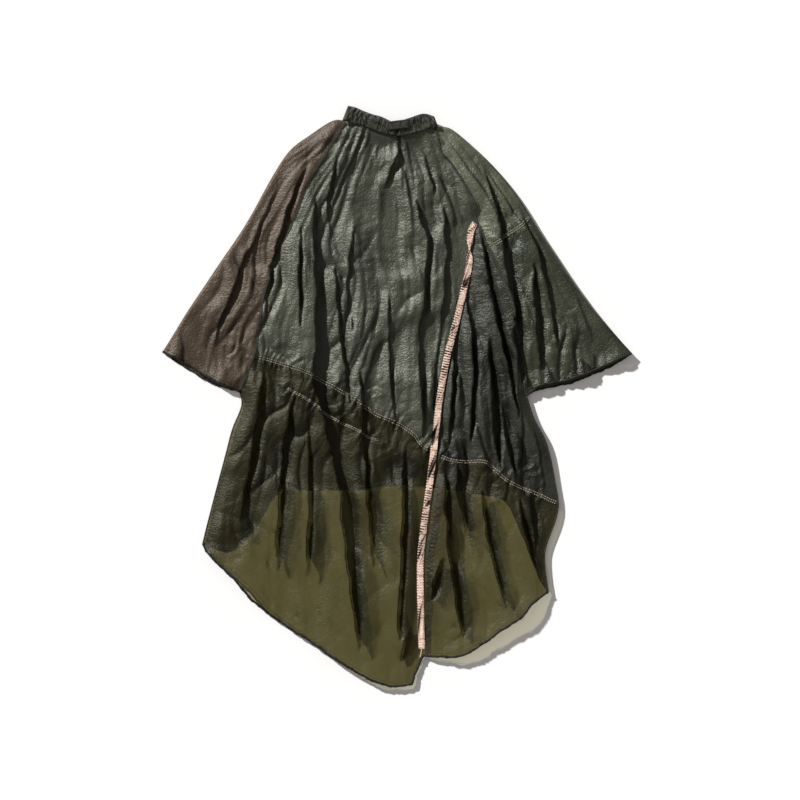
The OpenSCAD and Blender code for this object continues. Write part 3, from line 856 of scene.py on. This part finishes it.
def tick_marks(tree):
    """Plain tick marks along one edge of a tape: short ones close together, and a few long ones."""
    parts = node(tree, "ShaderNodeSeparateXYZ", {"Vector": flat_place(tree)})
    along, across = parts.outputs["X"], parts.outputs["Y"]
    short, long = (
        maths(tree, "LESS_THAN", maths(tree, "FRACT", maths(tree, "DIVIDE", along, pitch)), share)
        for pitch, share in ((0.0064, 0.16), (0.0508, 0.07)))
    short = maths(tree, "MULTIPLY", short, maths(tree, "GREATER_THAN", across, 0.0028))
    long = maths(tree, "MULTIPLY", long, maths(tree, "GREATER_THAN", across, -0.0045))
    return maths(tree, "MULTIPLY", maths(tree, "MAXIMUM", short, long), PRINT_STRENGTH)


def steel():
    made, tree = material("snap_metal")
    grain = node(tree, "ShaderNodeTexNoise", {"Scale": 700.0, "Detail": 3.0}).outputs["Fac"]
    shader = node(tree, "ShaderNodeBsdfPrincipled", {
        "Base Color": (0.42, 0.41, 0.38, 1), "Metallic": 1.0,
        "Roughness": between(tree, grain, 0.25, 0.5), "Normal": bump(tree, grain, 0.1, 0.0002)})
    ends_in(tree, shader.outputs["BSDF"])
    return made


PRINT_COLOUR, PRINT_STRENGTH = (0.16, 0.075, 0.045), 0.62
BINDING = cloth_trim("black_binding", (0.006, 0.006, 0.005), (0.022, 0.022, 0.018))
BODY_TRIM = cloth_trim("body_trim", (0.014, 0.015, 0.011), (0.062, 0.066, 0.048), 0.42)
SLEEVE_TRIM = cloth_trim("sleeve_trim", (0.05, 0.055, 0.038), (0.10, 0.11, 0.075), 0.5)
WELT = cloth_trim("seam_welt", (0.010, 0.011, 0.008), (0.036, 0.038, 0.027), 0.6)
THREAD = cloth_trim("beige_thread", (0.30, 0.25, 0.18), (0.56, 0.48, 0.37), 0.8, 2500.0)
DARK_THREAD = cloth_trim("dark_thread", (0.03, 0.03, 0.022), (0.09, 0.085, 0.065), 0.8, 2500.0)
COTTON = cloth_trim("printed_cotton", (0.62, 0.40, 0.31), (0.86, 0.68, 0.58), 0.8, 700.0, True)
STEEL = steel()

# ---------------------------------------------------------------- the cloth
FAR = 2.0
ZONES = {
    "left_sleeve": np.vstack([SEAMS["left_raglan"], [[-0.4, -0.1], [-FAR, -0.1], [-FAR, 1]]]),
    "right_sleeve": np.vstack([SEAMS["right_raglan"], [[0.35, -0.01], [FAR, -0.01], [FAR, 1]]]),
    "skirt": np.vstack([SEAMS["waist"], [[FAR, -0.3], [FAR, -FAR], [-FAR, -FAR], [-FAR, 0.1]]]),
    "side": np.vstack([[[0.3, 0.5]], SEAMS["join"], [[0.07, -FAR], [FAR, -FAR]]]),
    "upper": np.vstack([SEAMS["cross"], [[FAR, 0.5], [FAR, FAR], [-FAR, FAR], [-FAR, 0.3]]]),
    "back": np.vstack([back_hem, [[FAR, -0.5], [FAR, FAR], [-FAR, FAR], [-FAR, -0.3]]]),
}


def in_zones(text):
    """A test for points, such as "side !skirt": inside side and not inside skirt."""
    def test(points):
        hit = np.ones(len(points), bool)
        for word in text.split():
            found = inside(points, ZONES[word.lstrip("!")])
            hit &= ~found if word.startswith("!") else found
        return hit
    return test


BODY = "!left_sleeve !right_sleeve "
PANELS = [  # name, side, its zones and its finish
    ("front_main_upper", "front", BODY + "!skirt !side", BODY_NYLON),
    ("front_side_upper", "front", BODY + "!skirt side", PAINTED_SHADE_SIDE_NYLON),
    ("front_main_lower", "front", BODY + "skirt !side", SKIRT_NYLON),
    ("front_side_lower", "front", BODY + "skirt side", SKIRT_NYLON),
    ("back_upper", "back", BODY + "!skirt back", BODY_NYLON),
    ("back_lower", "back", BODY + "skirt back", SKIRT_NYLON),
    ("left_sleeve_cloth", "both", "left_sleeve", BROWN_NYLON),
    ("right_sleeve_upper_cloth", "both", "right_sleeve upper", GREEN_NYLON),
    ("right_sleeve_lower_cloth", "both", "right_sleeve !upper", SLEEVE_NYLON),
]

front_cloth = drawn_front()


def raised(place, flat, lift):
    """Points of a surface moved off it along its normal."""
    points = place(flat)
    reach = 1.5 * MM
    east = place(flat + [reach, 0]) - place(flat - [reach, 0])
    north = place(flat + [0, reach]) - place(flat - [0, reach])
    normal = np.cross(east, north)
    normal /= np.linalg.norm(normal, axis=1)[:, None]
    return points + normal * np.reshape(lift, (-1, 1))


def on_front(flat, lift=0.0):
    return raised(lambda p: sampled(front_cloth[..., :3], GRID_STEP, p), flat, lift)


def on_back(flat, lift=0.0):
    """Points on the back cloth. A positive lift is downwards, away from the front."""
    return raised(lambda p: np.column_stack([p, back_height(p)]), flat, -np.asarray(lift))


def at_closed_edge(flat):
    return gap_to(flat, CLOSED_EDGES) < 0.02 * MM


def panel(name, side, zones, finish):
    """One panel, cut out of the front cloth, the back cloth or both, joined at closed edges.

    Returns its points' places on the flat cloth and its flat area.
    """
    parts = []
    test = in_zones(zones)
    for layer, verts, faces in (("front", *FRONT_NET), ("back", *BACK_NET)):
        if side in (layer, "both"):
            flat, triangles = part_of(verts, faces, test)
            points = on_front(flat) if layer == "front" else on_back(flat)
            closed = at_closed_edge(flat)
            points[closed] = np.column_stack([flat[closed], EDGE_Z + edge_lift(flat[closed])])
            triangles = triangles if layer == "front" else triangles[:, ::-1]
            parts.append((points, triangles, flat, layer))
    count = len(parts[0][0])
    points = np.vstack([p[0] for p in parts])
    flat = np.vstack([p[2] for p in parts])
    faces = np.vstack([parts[0][1], *(p[1] + count for p in parts[1:])])
    piece = new_mesh(name, points, faces, flat)
    # the front's share of painted shade, read off its grid; the back has none
    tuck_and_painted_shade = np.concatenate([sampled(front_cloth[..., 3:], GRID_STEP, p[2])[:, 0] if p[3] == "front"
                             else np.zeros(len(p[2])) for p in parts])
    piece.data.attributes.new("tuck_and_painted_shade", "FLOAT", "POINT").data.foreach_set("value", tuck_and_painted_shade)
    if len(parts) > 1:
        mesh = bmesh.new()
        mesh.from_mesh(piece.data)
        at_edge = at_closed_edge(flat)
        joined = [v for v in mesh.verts if at_edge[v.index]]
        bmesh.ops.remove_doubles(mesh, verts=joined, dist=0.05 * MM)
        mesh.to_mesh(piece.data)
        mesh.free()
    piece.data.materials.append(finish)
    sides = flat[faces]
    a, b = sides[:, 1] - sides[:, 0], sides[:, 2] - sides[:, 0]
    cut = 0.5 * np.abs(a[:, 0] * b[:, 1] - a[:, 1] * b[:, 0]).sum()
    return flat, cut


def nets():
    """Flat triangle nets of the front, with its slit open, and of the back."""
    verts, faces = triangulated(OUTLINE, list(SEAMS.values()), MESH_STEP)
    faces = faces[np.abs(nearest(verts[faces].mean(1), slit)[0]) > SLIT_HALF]
    back_lines = [SEAMS[name] for name in ("left_raglan", "right_raglan", "waist", "cross")]
    return (verts, faces), triangulated(OUTLINE, back_lines + [back_hem], MESH_STEP)


FRONT_NET, BACK_NET = nets()
CUTS = {name: panel(name, side, zones, finish) for name, side, zones, finish in PANELS}


# ---------------------------------------------------------------- seams, stitches and bindings
def clipped(path, test, step=3 * MM):
    """The longest run of a path, in short steps, whose points pass a test."""
    fine = resample(path, step)
    good = np.r_[False, test(fine), False]
    starts = np.flatnonzero(~good[:-1] & good[1:])
    ends = np.flatnonzero(good[:-1] & ~good[1:])
    longest = np.argmax(ends - starts)
    return fine[starts[longest]:ends[longest]]


def in_cape(points):
    return inside(points, OUTLINE)


def welt(name, path, surface, finish, half=4.2 * MM, tall=1.0 * MM):
    """A felled seam: a low rounded strip that follows the cloth."""
    spread = np.array([-1, -0.85, -0.4, 0, 0.4, 0.85, 1]) * half
    lifts = np.array([0.05 * MM, 0.75 * tall, tall, 0.8 * tall, tall, 0.75 * tall, 0.05 * MM])
    build(name, [strip(path, spread, lifts, surface)], finish)


def rows_of(path, surface, offsets, lift):
    return [stitches(beside(path, d), surface, lift=lift) for d in offsets]


TAPE_GAP = 4  # how many points the waist's welts and stitches stop before the printed tape
left_raglan = clipped(SEAMS["left_raglan"], in_cape)
right_raglan = clipped(SEAMS["right_raglan"], in_cape)
waist = clipped(SEAMS["waist"], lambda p: in_cape(p) & in_zones(BODY)(p))
waist_main = clipped(waist, in_zones("!side"))[:-TAPE_GAP]
waist_side = clipped(waist, in_zones("side"))[TAPE_GAP:]
cross = clipped(SEAMS["cross"], lambda p: in_cape(p) & in_zones("right_sleeve")(p))
hem_back = clipped(back_hem, in_cape)
gather_line = resample(gathering, 3 * MM)

welt("front_main_waist_welt", waist_main, on_front, BODY_TRIM)
welt("front_side_waist_welt", waist_side, on_front, BODY_TRIM)
welt("back_waist_welt", waist, on_back, BODY_TRIM)
welt("waist_gathering_strip", gather_line, on_front, BODY_TRIM, 3.2 * MM, 0.7 * MM)
for side, path in (("left", left_raglan), ("right", right_raglan)):
    for layer, surface in (("front", on_front), ("back", on_back)):
        welt(f"{side}_{layer}_raglan_welt", path, surface, WELT, 3.0 * MM, 0.8 * MM)
welt("cross_welt", cross, on_front, SLEEVE_TRIM, 4.4 * MM)

TWIN = (-3 * MM, 3 * MM)  # a double row of stitches
ON_WELT = 1.1 * MM  # how high stitches lie on a waist or cross welt
build("waist_stitches", rows_of(waist_main, on_front, TWIN, ON_WELT)
      + rows_of(waist_side, on_front, TWIN, ON_WELT), THREAD, True)
build("gathering_stitches", rows_of(gather_line, on_front, (-2 * MM, 2 * MM), 0.8 * MM),
      THREAD, True)
build("cross_stitches", rows_of(cross, on_front, TWIN, ON_WELT), THREAD, True)
build("raglan_stitches", rows_of(left_raglan, on_front, (1.8 * MM,), 0.9 * MM)
      + rows_of(right_raglan, on_front, (1.8 * MM,), 0.9 * MM), DARK_THREAD, True)


TOP_ROLL = 2.9 * MM  # the radius of a rolled hem on the front
ABOVE_FLOOR = 0.2 * MM


def binding(path, surface, radius, seed):
    """A rolled edge: a tube of uneven thickness along an edge of the cloth."""
    fine = resample(path, 3.5 * MM)
    at = np.arange(len(fine))
    radius = radius * (1.05 + 0.34 * value_noise(at * 0.7, np.full(len(fine), seed / 7), seed))
    centre = surface(fine)
    sway = value_noise(at * 0.31, np.full(len(fine), 2.5), seed + 9)
    ends = ease(np.minimum(at, at[::-1]) / 6)
    centre[:, :2] = beside(centre[:, :2], sway * 1.6 * MM * ends)
    centre[:, 2] = np.maximum(centre[:, 2], radius + ABOVE_FLOOR)
    return tube(centre, radius)


def roll(name, *tubes):
    build(name, [binding(*one) for one in tubes], BINDING, True)


def beside_edge(name, distance):
    """A line beside an open edge, clear of the closed edges."""
    return clipped(beside(EDGES[name], distance),
                   lambda p: in_cape(p) & (gap_to(p, CLOSED_EDGES) > 4 * MM))


roll("main_hem_roll", (np.vstack([EDGES["main_hem"], EDGES["hem_slit"][1:]]), on_front,
                       TOP_ROLL, 81))
roll("side_hem_roll", (EDGES["side_hem"], on_front, TOP_ROLL, 82))
roll("back_hem_roll", (hem_back, on_back, 1.4 * MM, 83))
for side in ("left", "right"):
    path = EDGES[f"{side}_mouth"]
    roll(f"{side}_sleeve_hem_rolls", (path, on_front, TOP_ROLL, 84), (path, on_back, 1.9 * MM, 85))
    fine = resample(EDGES[f"{side}_side"], 4 * MM)
    centre = np.column_stack([fine, EDGE_Z + edge_lift(fine)])
    build(f"{side}_side_welt", [tube(centre, 1.6 * MM, 1.0 * MM)], WELT, True)
    build(f"{side}_sleeve_hem_stitches",
          rows_of(beside_edge(f"{side}_mouth", 9 * MM), on_front, (0,), 0.2 * MM),
          DARK_THREAD, True)
build("hem_stitches", [stitches(beside_edge(name, 8 * MM), on_front, lift=0.2 * MM)
                       for name in ("main_hem", "side_hem")], DARK_THREAD, True)


# ---------------------------------------------------------------- printed tape
TAPE_LINE = [(189, 418), (177, 390), (174, 317), (159, 247), (143, 180), (123, 104), (108, 27),
             (97, -53), (86, -155), (77, -225), (65, -310), (57, -387), (56, -440), (57, -502),
             (58, -557), (60, -610)]
TAPE_TAIL = [(60, -606), (58, -624), (52, -640), (45, -656)]
TAPE_HALF = 8  # half its width in millimetres
TURN_AT = (418 - 353) * MM * 1.03  # how far down the tape turns over
SETTLE = 49  # points over which the tape evens out what is under it


def printed_tape():
    """The cotton tape bridges the folds, turns over once and hangs loose at the hem."""
    path = resample(smooth(TAPE_LINE), 1.25 * MM)
    run, _ = along_path(path)
    spread = np.linspace(-TAPE_HALF, TAPE_HALF, 7) * MM
    tops = np.stack([on_front(beside(path, d), 0)[:, 2] for d in spread], 1).max(1)
    at = np.arange(len(tops))
    crest = np.stack([tops[np.clip(at + k, 0, len(tops) - 1)] for k in range(-24, 25, 2)], 1).max(1)
    weights = np.hanning(SETTLE)[1:-1] / np.hanning(SETTLE)[1:-1].sum()
    ridge = np.convolve(np.pad(crest, len(weights) // 2, mode="edge"), weights, mode="valid")
    # pinched by the seam: small cross ripples, and one turn of the tape high up
    twist = np.exp(-((run - TURN_AT) / (13 * MM)) ** 2)
    ripple = value_noise(run / 0.02, run * 0 + 3, 91) * 0.4 * MM
    wander = 2 * value_noise(run / 0.03, run * 0, 92)
    ladder = np.sin(run / (6.4 * MM) * 2 * np.pi + wander) * 0.34 * MM
    rows = []
    for d in spread:
        share = d / (TAPE_HALF * MM)
        z = (ridge + 1.6 * MM + ladder * (1 - 0.5 * share**2) + ripple * share
             + 1.4 * MM * twist * (1 - share**2))
        rows.append(np.column_stack([beside(path, d * (1 - 0.72 * twist)), z]))
    points = np.stack(rows, 1)
    flat = np.stack(np.broadcast_arrays(run[:, None], spread[None]), -1)
    tape = points.reshape(-1, 3), grid_faces(len(path), len(spread)), flat.reshape(-1, 2)
    tail = resample(smooth(TAPE_TAIL), 2.5 * MM)
    spine = np.column_stack([tail, np.linspace(points[-1, 3, 2], 2.5 * MM, len(tail))])
    build("printed_tape_strip", [tape, tube(spine, 1.3 * MM, 0.7 * MM, 6)], COTTON, True)


printed_tape()

# ---------------------------------------------------------------- collar, slit and tab
def spaced(line, count):
    """A smooth line in so many points."""
    path = resample(smooth(line), 1 * MM)
    at, old = np.linspace(0, 1, count), np.linspace(0, 1, len(path))
    return np.stack([np.interp(at, old, path[:, k]) for k in (0, 1)], 1)


def gathered_band(name, lower, upper, z, thick, seed):
    """A soft band between two lines, crossed by small gathers."""
    count = 120
    a, b = spaced(lower, count), spaced(upper, count)
    run, _ = along_path(a)
    sides = 22
    turn = np.linspace(0, 2 * np.pi, sides, endpoint=False)
    across = 0.5 - 0.5 * np.cos(turn)
    rise = np.sign(np.sin(turn)) * np.abs(np.sin(turn)) ** 0.6
    ends = np.sqrt(np.clip(np.minimum(run, run[-1] - run) / (5 * MM), 0.02, 1))
    s, u = np.meshgrid(run, across, indexing="ij")
    bent = s / (7 * MM) + 3.0 * value_noise(s / (30 * MM), u * 1.5, seed + 3) + 0.9 * u
    gathers = np.abs(value_noise(bent, u * 2.4 + seed, seed)) ** 0.7
    soft = value_noise(s / (34 * MM), u * 3 + seed, seed + 1)
    tall = thick / 2 * (0.3 + 1.05 * gathers + 0.4 * soft) * ends[:, None]
    flat = a[:, None] + across[None, :, None] * (b - a)[:, None]
    height = z + tall * rise[None]
    points = np.dstack([flat, height])
    uv = np.stack([s, u * np.linalg.norm(b - a, axis=1).mean() + 0.02 * (rise[None] < 0)], -1)
    build(name, [(points.reshape(-1, 3), grid_faces(count, sides, True), uv.reshape(-1, 2))],
          BODY_TRIM, True)


FRONT_BAND = BAND_Z + 0.5 * MM, 9 * MM  # the middle height and the thickness of a front band
gathered_band(
    "collar_front_left",
    [(-132, 664), (-96, 655), (-70, 647), (-50, 638), (-19, 629), (-1, 626)],
    [(-118, 700), (-100, 696), (-82, 688), (-58, 679), (-36, 673), (-4, 657)], *FRONT_BAND, 101)
gathered_band(
    "collar_front_right",
    [(1, 626), (20, 628), (46, 634), (78, 645), (100, 648)],
    [(3, 660), (16, 666), (31, 671), (64, 681), (90, 674)], *FRONT_BAND, 103)
gathered_band(
    "collar_back",
    [(92, 651), (78, 655), (46, 643), (6, 637), (-19, 639), (-50, 647), (-70, 656), (-120, 668)],
    [(96, 660), (78, 670), (46, 664), (6, 652), (-19, 656), (-50, 665), (-70, 677), (-112, 688)],
    2.5 * MM, 3.6 * MM, 105)


def placket(name, side):
    """A facing turned under along one side of the slit."""
    path = resample(slit, 3 * MM)[1:]
    spread = side * np.array([4.6, 7, 10, 13]) * MM
    build(name, [strip(path, np.sort(spread), np.full(4, -0.7 * MM), on_front)], BODY_TRIM)


placket("left_placket", -1)
placket("right_placket", 1)


def closing_tab():
    """The collar's tab: a soft padded strap with a rounded end and a row of stitches."""
    low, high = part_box("collar_tab")
    root = np.array([26, 656]) * SCALE
    angle = math.radians(7)
    ahead = -np.array([math.cos(angle), math.sin(angle)])
    left = np.array([-ahead[1], ahead[0]])
    length, half = 53 * MM, 10.6 * MM
    mid, thick = (low[2] + high[2]) / 2, (high[2] - low[2]) / 2
    at = np.r_[np.linspace(-6, 42, 22), 42 + 11 * np.sin(np.linspace(0.12, 1, 9) * np.pi / 2)] * MM
    round_off = np.sqrt(np.clip(1 - (np.clip(at - 42 * MM, 0, None) / (11.2 * MM)) ** 2, 0.01, 1))
    sides = 20
    turn = np.linspace(0, 2 * np.pi, sides, endpoint=False)
    u = np.cos(turn)
    v = np.sign(np.sin(turn)) * np.abs(np.sin(turn)) ** 0.45
    s, uu = np.meshgrid(at, u, indexing="ij")
    droop = -3.4 * MM * ease(-(at - 2 * MM) / (8 * MM))
    puff = 1 + 0.35 * value_noise(s / (7 * MM), uu * 1.5, 111)
    plan = root + s[..., None] * ahead + (uu * half * round_off[:, None])[..., None] * left
    z = mid + droop[:, None] + thick * 0.95 * v[None] * puff
    points = np.dstack([plan, np.minimum(z, high[2] + 1.0 * MM)])
    uv = np.stack([s, uu * half + 0.03 * (v[None] < 0)], -1)
    build("closing_tab_cloth", [(points.reshape(-1, 3), grid_faces(len(at), sides, True),
                                 uv.reshape(-1, 2))], BODY_TRIM, True)
    inset = half * 0.78
    edge = [root + d * MM * ahead + inset * left for d in np.linspace(2, 42, 9)]
    edge += [root + (42 * MM + inset * math.sin(t)) * ahead + inset * math.cos(t) * left
             for t in np.linspace(0.3, np.pi - 0.3, 9)]
    edge += [root + d * MM * ahead - inset * left for d in np.linspace(42, 2, 9)]

    def top(flat, lift=0.0):
        return np.column_stack([flat, np.full(len(flat), mid + thick * 0.9) + lift])

    build("closing_tab_stitches", [stitches(np.array(edge), top, lift=0.25 * MM)],
          DARK_THREAD, True)
    return root, ahead


tab_root, tab_ahead = closing_tab()

# ---------------------------------------------------------------- the cape's body and replaced nodes
CAPE, LEFT, RIGHT, TAB = "cape_body", "left_sleeve_body", "right_sleeve_body", "closing_tab"
BEND = 45 * MM  # the width of a strip beside a sleeve's fold joint


def fold_line(path):
    a, b = np.array(path, float) * SCALE
    ahead = (b - a) / np.linalg.norm(b - a)
    return (a + b) / 2, np.array([-ahead[1], ahead[0]])


left_mid, left_out = fold_line(LEFT_FOLD)
right_mid, right_out = fold_line(RIGHT_FOLD)
BENDS = {  # where a strip beside each fold joint starts and ends
    LEFT: (left_mid, left_mid + left_out * BEND),
    RIGHT: (right_mid, right_mid + right_out * BEND),
    TAB: (tab_root - tab_ahead * 5 * MM, tab_root + tab_ahead * 9 * MM),
}
TABLE = [  # piece, body, CAD node that it replaces, slot
    ("front_main_upper", CAPE, "front_main_upper_panel", "body_nylon"),
    ("front_side_upper", CAPE, "front_side_upper_panel", "body_nylon"),
    ("front_main_lower", CAPE, "front_main_lower_panel", "skirt_nylon"),
    ("front_side_lower", CAPE, "front_side_lower_panel", "skirt_nylon"),
    ("back_upper", CAPE, "back_upper_panel", "body_nylon"),
    ("back_lower", CAPE, "back_lower_panel", "skirt_nylon"),
    ("left_sleeve_cloth", LEFT, "left_sleeve", "brown_nylon"),
    ("right_sleeve_upper_cloth", RIGHT, "right_sleeve_upper", "green_nylon"),
    ("right_sleeve_lower_cloth", RIGHT, "right_sleeve_lower", "green_nylon"),
    ("front_main_waist_welt", CAPE, "front_main_waist_seam", "body_nylon"),
    ("front_side_waist_welt", CAPE, "front_side_waist_seam", "body_nylon"),
    ("back_waist_welt", CAPE, "back_waist_seam", "body_nylon"),
    ("waist_gathering_strip", CAPE, "waist_gathering_tape", "body_nylon"),
    ("left_front_raglan_welt", CAPE, "left_front_raglan_seam", "body_nylon"),
    ("right_front_raglan_welt", CAPE, "right_front_raglan_seam", "body_nylon"),
    ("left_back_raglan_welt", CAPE, "left_back_raglan_seam", "body_nylon"),
    ("right_back_raglan_welt", CAPE, "right_back_raglan_seam", "body_nylon"),
    ("cross_welt", RIGHT, "right_sleeve_cross_seam", "green_nylon"),
    ("waist_stitches", CAPE, "", "seam_thread"),
    ("gathering_stitches", CAPE, "", "seam_thread"),
    ("cross_stitches", RIGHT, "", "seam_thread"),
    ("raglan_stitches", CAPE, "", "seam_thread"),
    ("main_hem_roll", CAPE, "main_hem_binding", "black_binding"),
    ("side_hem_roll", CAPE, "side_hem_binding", "black_binding"),
    ("back_hem_roll", CAPE, "back_hem_binding", "black_binding"),
    ("left_sleeve_hem_rolls", LEFT, "left_sleeve_hem", "black_binding"),
    ("right_sleeve_hem_rolls", RIGHT, "right_sleeve_hem", "black_binding"),
    ("left_sleeve_hem_stitches", LEFT, "", "seam_thread"),
    ("right_sleeve_hem_stitches", RIGHT, "", "seam_thread"),
    ("hem_stitches", CAPE, "", "seam_thread"),
    ("left_side_welt", CAPE, "left_side_seam", "body_nylon"),
    ("right_side_welt", CAPE, "right_side_seam", "body_nylon"),
    ("printed_tape_strip", CAPE, "printed_tape", "tape_cloth"),
    ("collar_front_left", CAPE, "collar_band_front_left", "body_nylon"),
    ("collar_front_right", CAPE, "collar_band_front_right", "body_nylon"),
    ("collar_back", CAPE, "collar_band_back", "body_nylon"),
    ("left_placket", CAPE, "left_placket_facing", "body_nylon"),
    ("right_placket", CAPE, "right_placket_facing", "body_nylon"),
    ("closing_tab_cloth", TAB, "collar_tab", "green_nylon"),
    ("closing_tab_stitches", TAB, "", "seam_thread"),
]
for name, body, replaced, slot in TABLE:
    piece = PIECES[name]
    if body == CAPE:
        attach(piece, CAPE)
    else:
        start, end = BENDS[body]
        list(start)
        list(end)
        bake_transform(piece)
    if replaced:
        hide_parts(replaced)
for name in ("snap_ball", "snap_socket"):
    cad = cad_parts[name]
    cad.data.materials.clear()
    cad.data.materials.append(STEEL)

for name, side, *_ in PANELS:
    flat, cut = CUTS[name]
    spread = np.ptp(flat, axis=0)
    if side == "both":
        path = LEFT_FOLD if name.startswith("left") else RIGHT_FOLD
        _, out = fold_line(path)
        along = np.array([out[1], -out[0]])
        spread = np.array([2 * np.ptp(flat @ out), np.ptp(flat @ along)])


# ---------------------------------------------------------------- stage, lights and camera
FLOOR_SIZE, FLOOR_COLOUR = 12, (0.9, 0.9, 0.9, 1)
SUN_FROM, SUN_POWER, SUN_SPREAD = (-0.66, 0.62, 0.42), 6.2, 2.5
SKY_COLOUR, SKY_POWER = (1, 0.96, 0.92, 1), 0.31
PHOTO_WIDTH, PIXEL = 800, 2.42 * MM  # the photo's width in pixels, and what one shows of the floor
PHOTO_MIDDLE = (7.3 * MM, -9.7 * MM, 0)
CAMERA_HEIGHT, SENSOR = 4.2, 36


def build_stage():
    bpy.ops.mesh.primitive_plane_add(size=FLOOR_SIZE)
    floor = bpy.context.object
    floor.name = "floor"
    made, tree = material("floor")
    shader = node(tree, "ShaderNodeBsdfPrincipled", {
        "Base Color": FLOOR_COLOUR, "Roughness": 0.9, "Specular IOR Level": 0.0})
    ends_in(tree, shader.outputs["BSDF"])
    floor.data.materials.append(made)
    floor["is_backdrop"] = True


def build_light():
    sun = bpy.data.lights.new("sun", "SUN")
    sun.energy = SUN_POWER
    sun.angle = math.radians(SUN_SPREAD)
    made = bpy.data.objects.new("sun", sun)
    made.rotation_euler = (-Vector(SUN_FROM)).to_track_quat("-Z", "Y").to_euler()
    bpy.context.scene.collection.objects.link(made)
    world = bpy.data.worlds.new("world")
    world.use_nodes = True
    sky = world.node_tree.nodes["Background"]
    sky.inputs["Color"].default_value = SKY_COLOUR
    sky.inputs["Strength"].default_value = SKY_POWER
    bpy.context.scene.world = world
    bpy.context.scene.view_settings.view_transform = "Standard"


def build_camera():
    data = bpy.data.cameras.new("camera")
    data.sensor_width = SENSOR
    data.lens = SENSOR * CAMERA_HEIGHT / (PHOTO_WIDTH * PIXEL)
    camera = bpy.data.objects.new("camera", data)
    camera.location = Vector(PHOTO_MIDDLE) + Vector((0, 0, CAMERA_HEIGHT))
    bpy.context.scene.collection.objects.link(camera)
    bpy.context.scene.camera = camera


build_stage()
build_light()
build_camera()
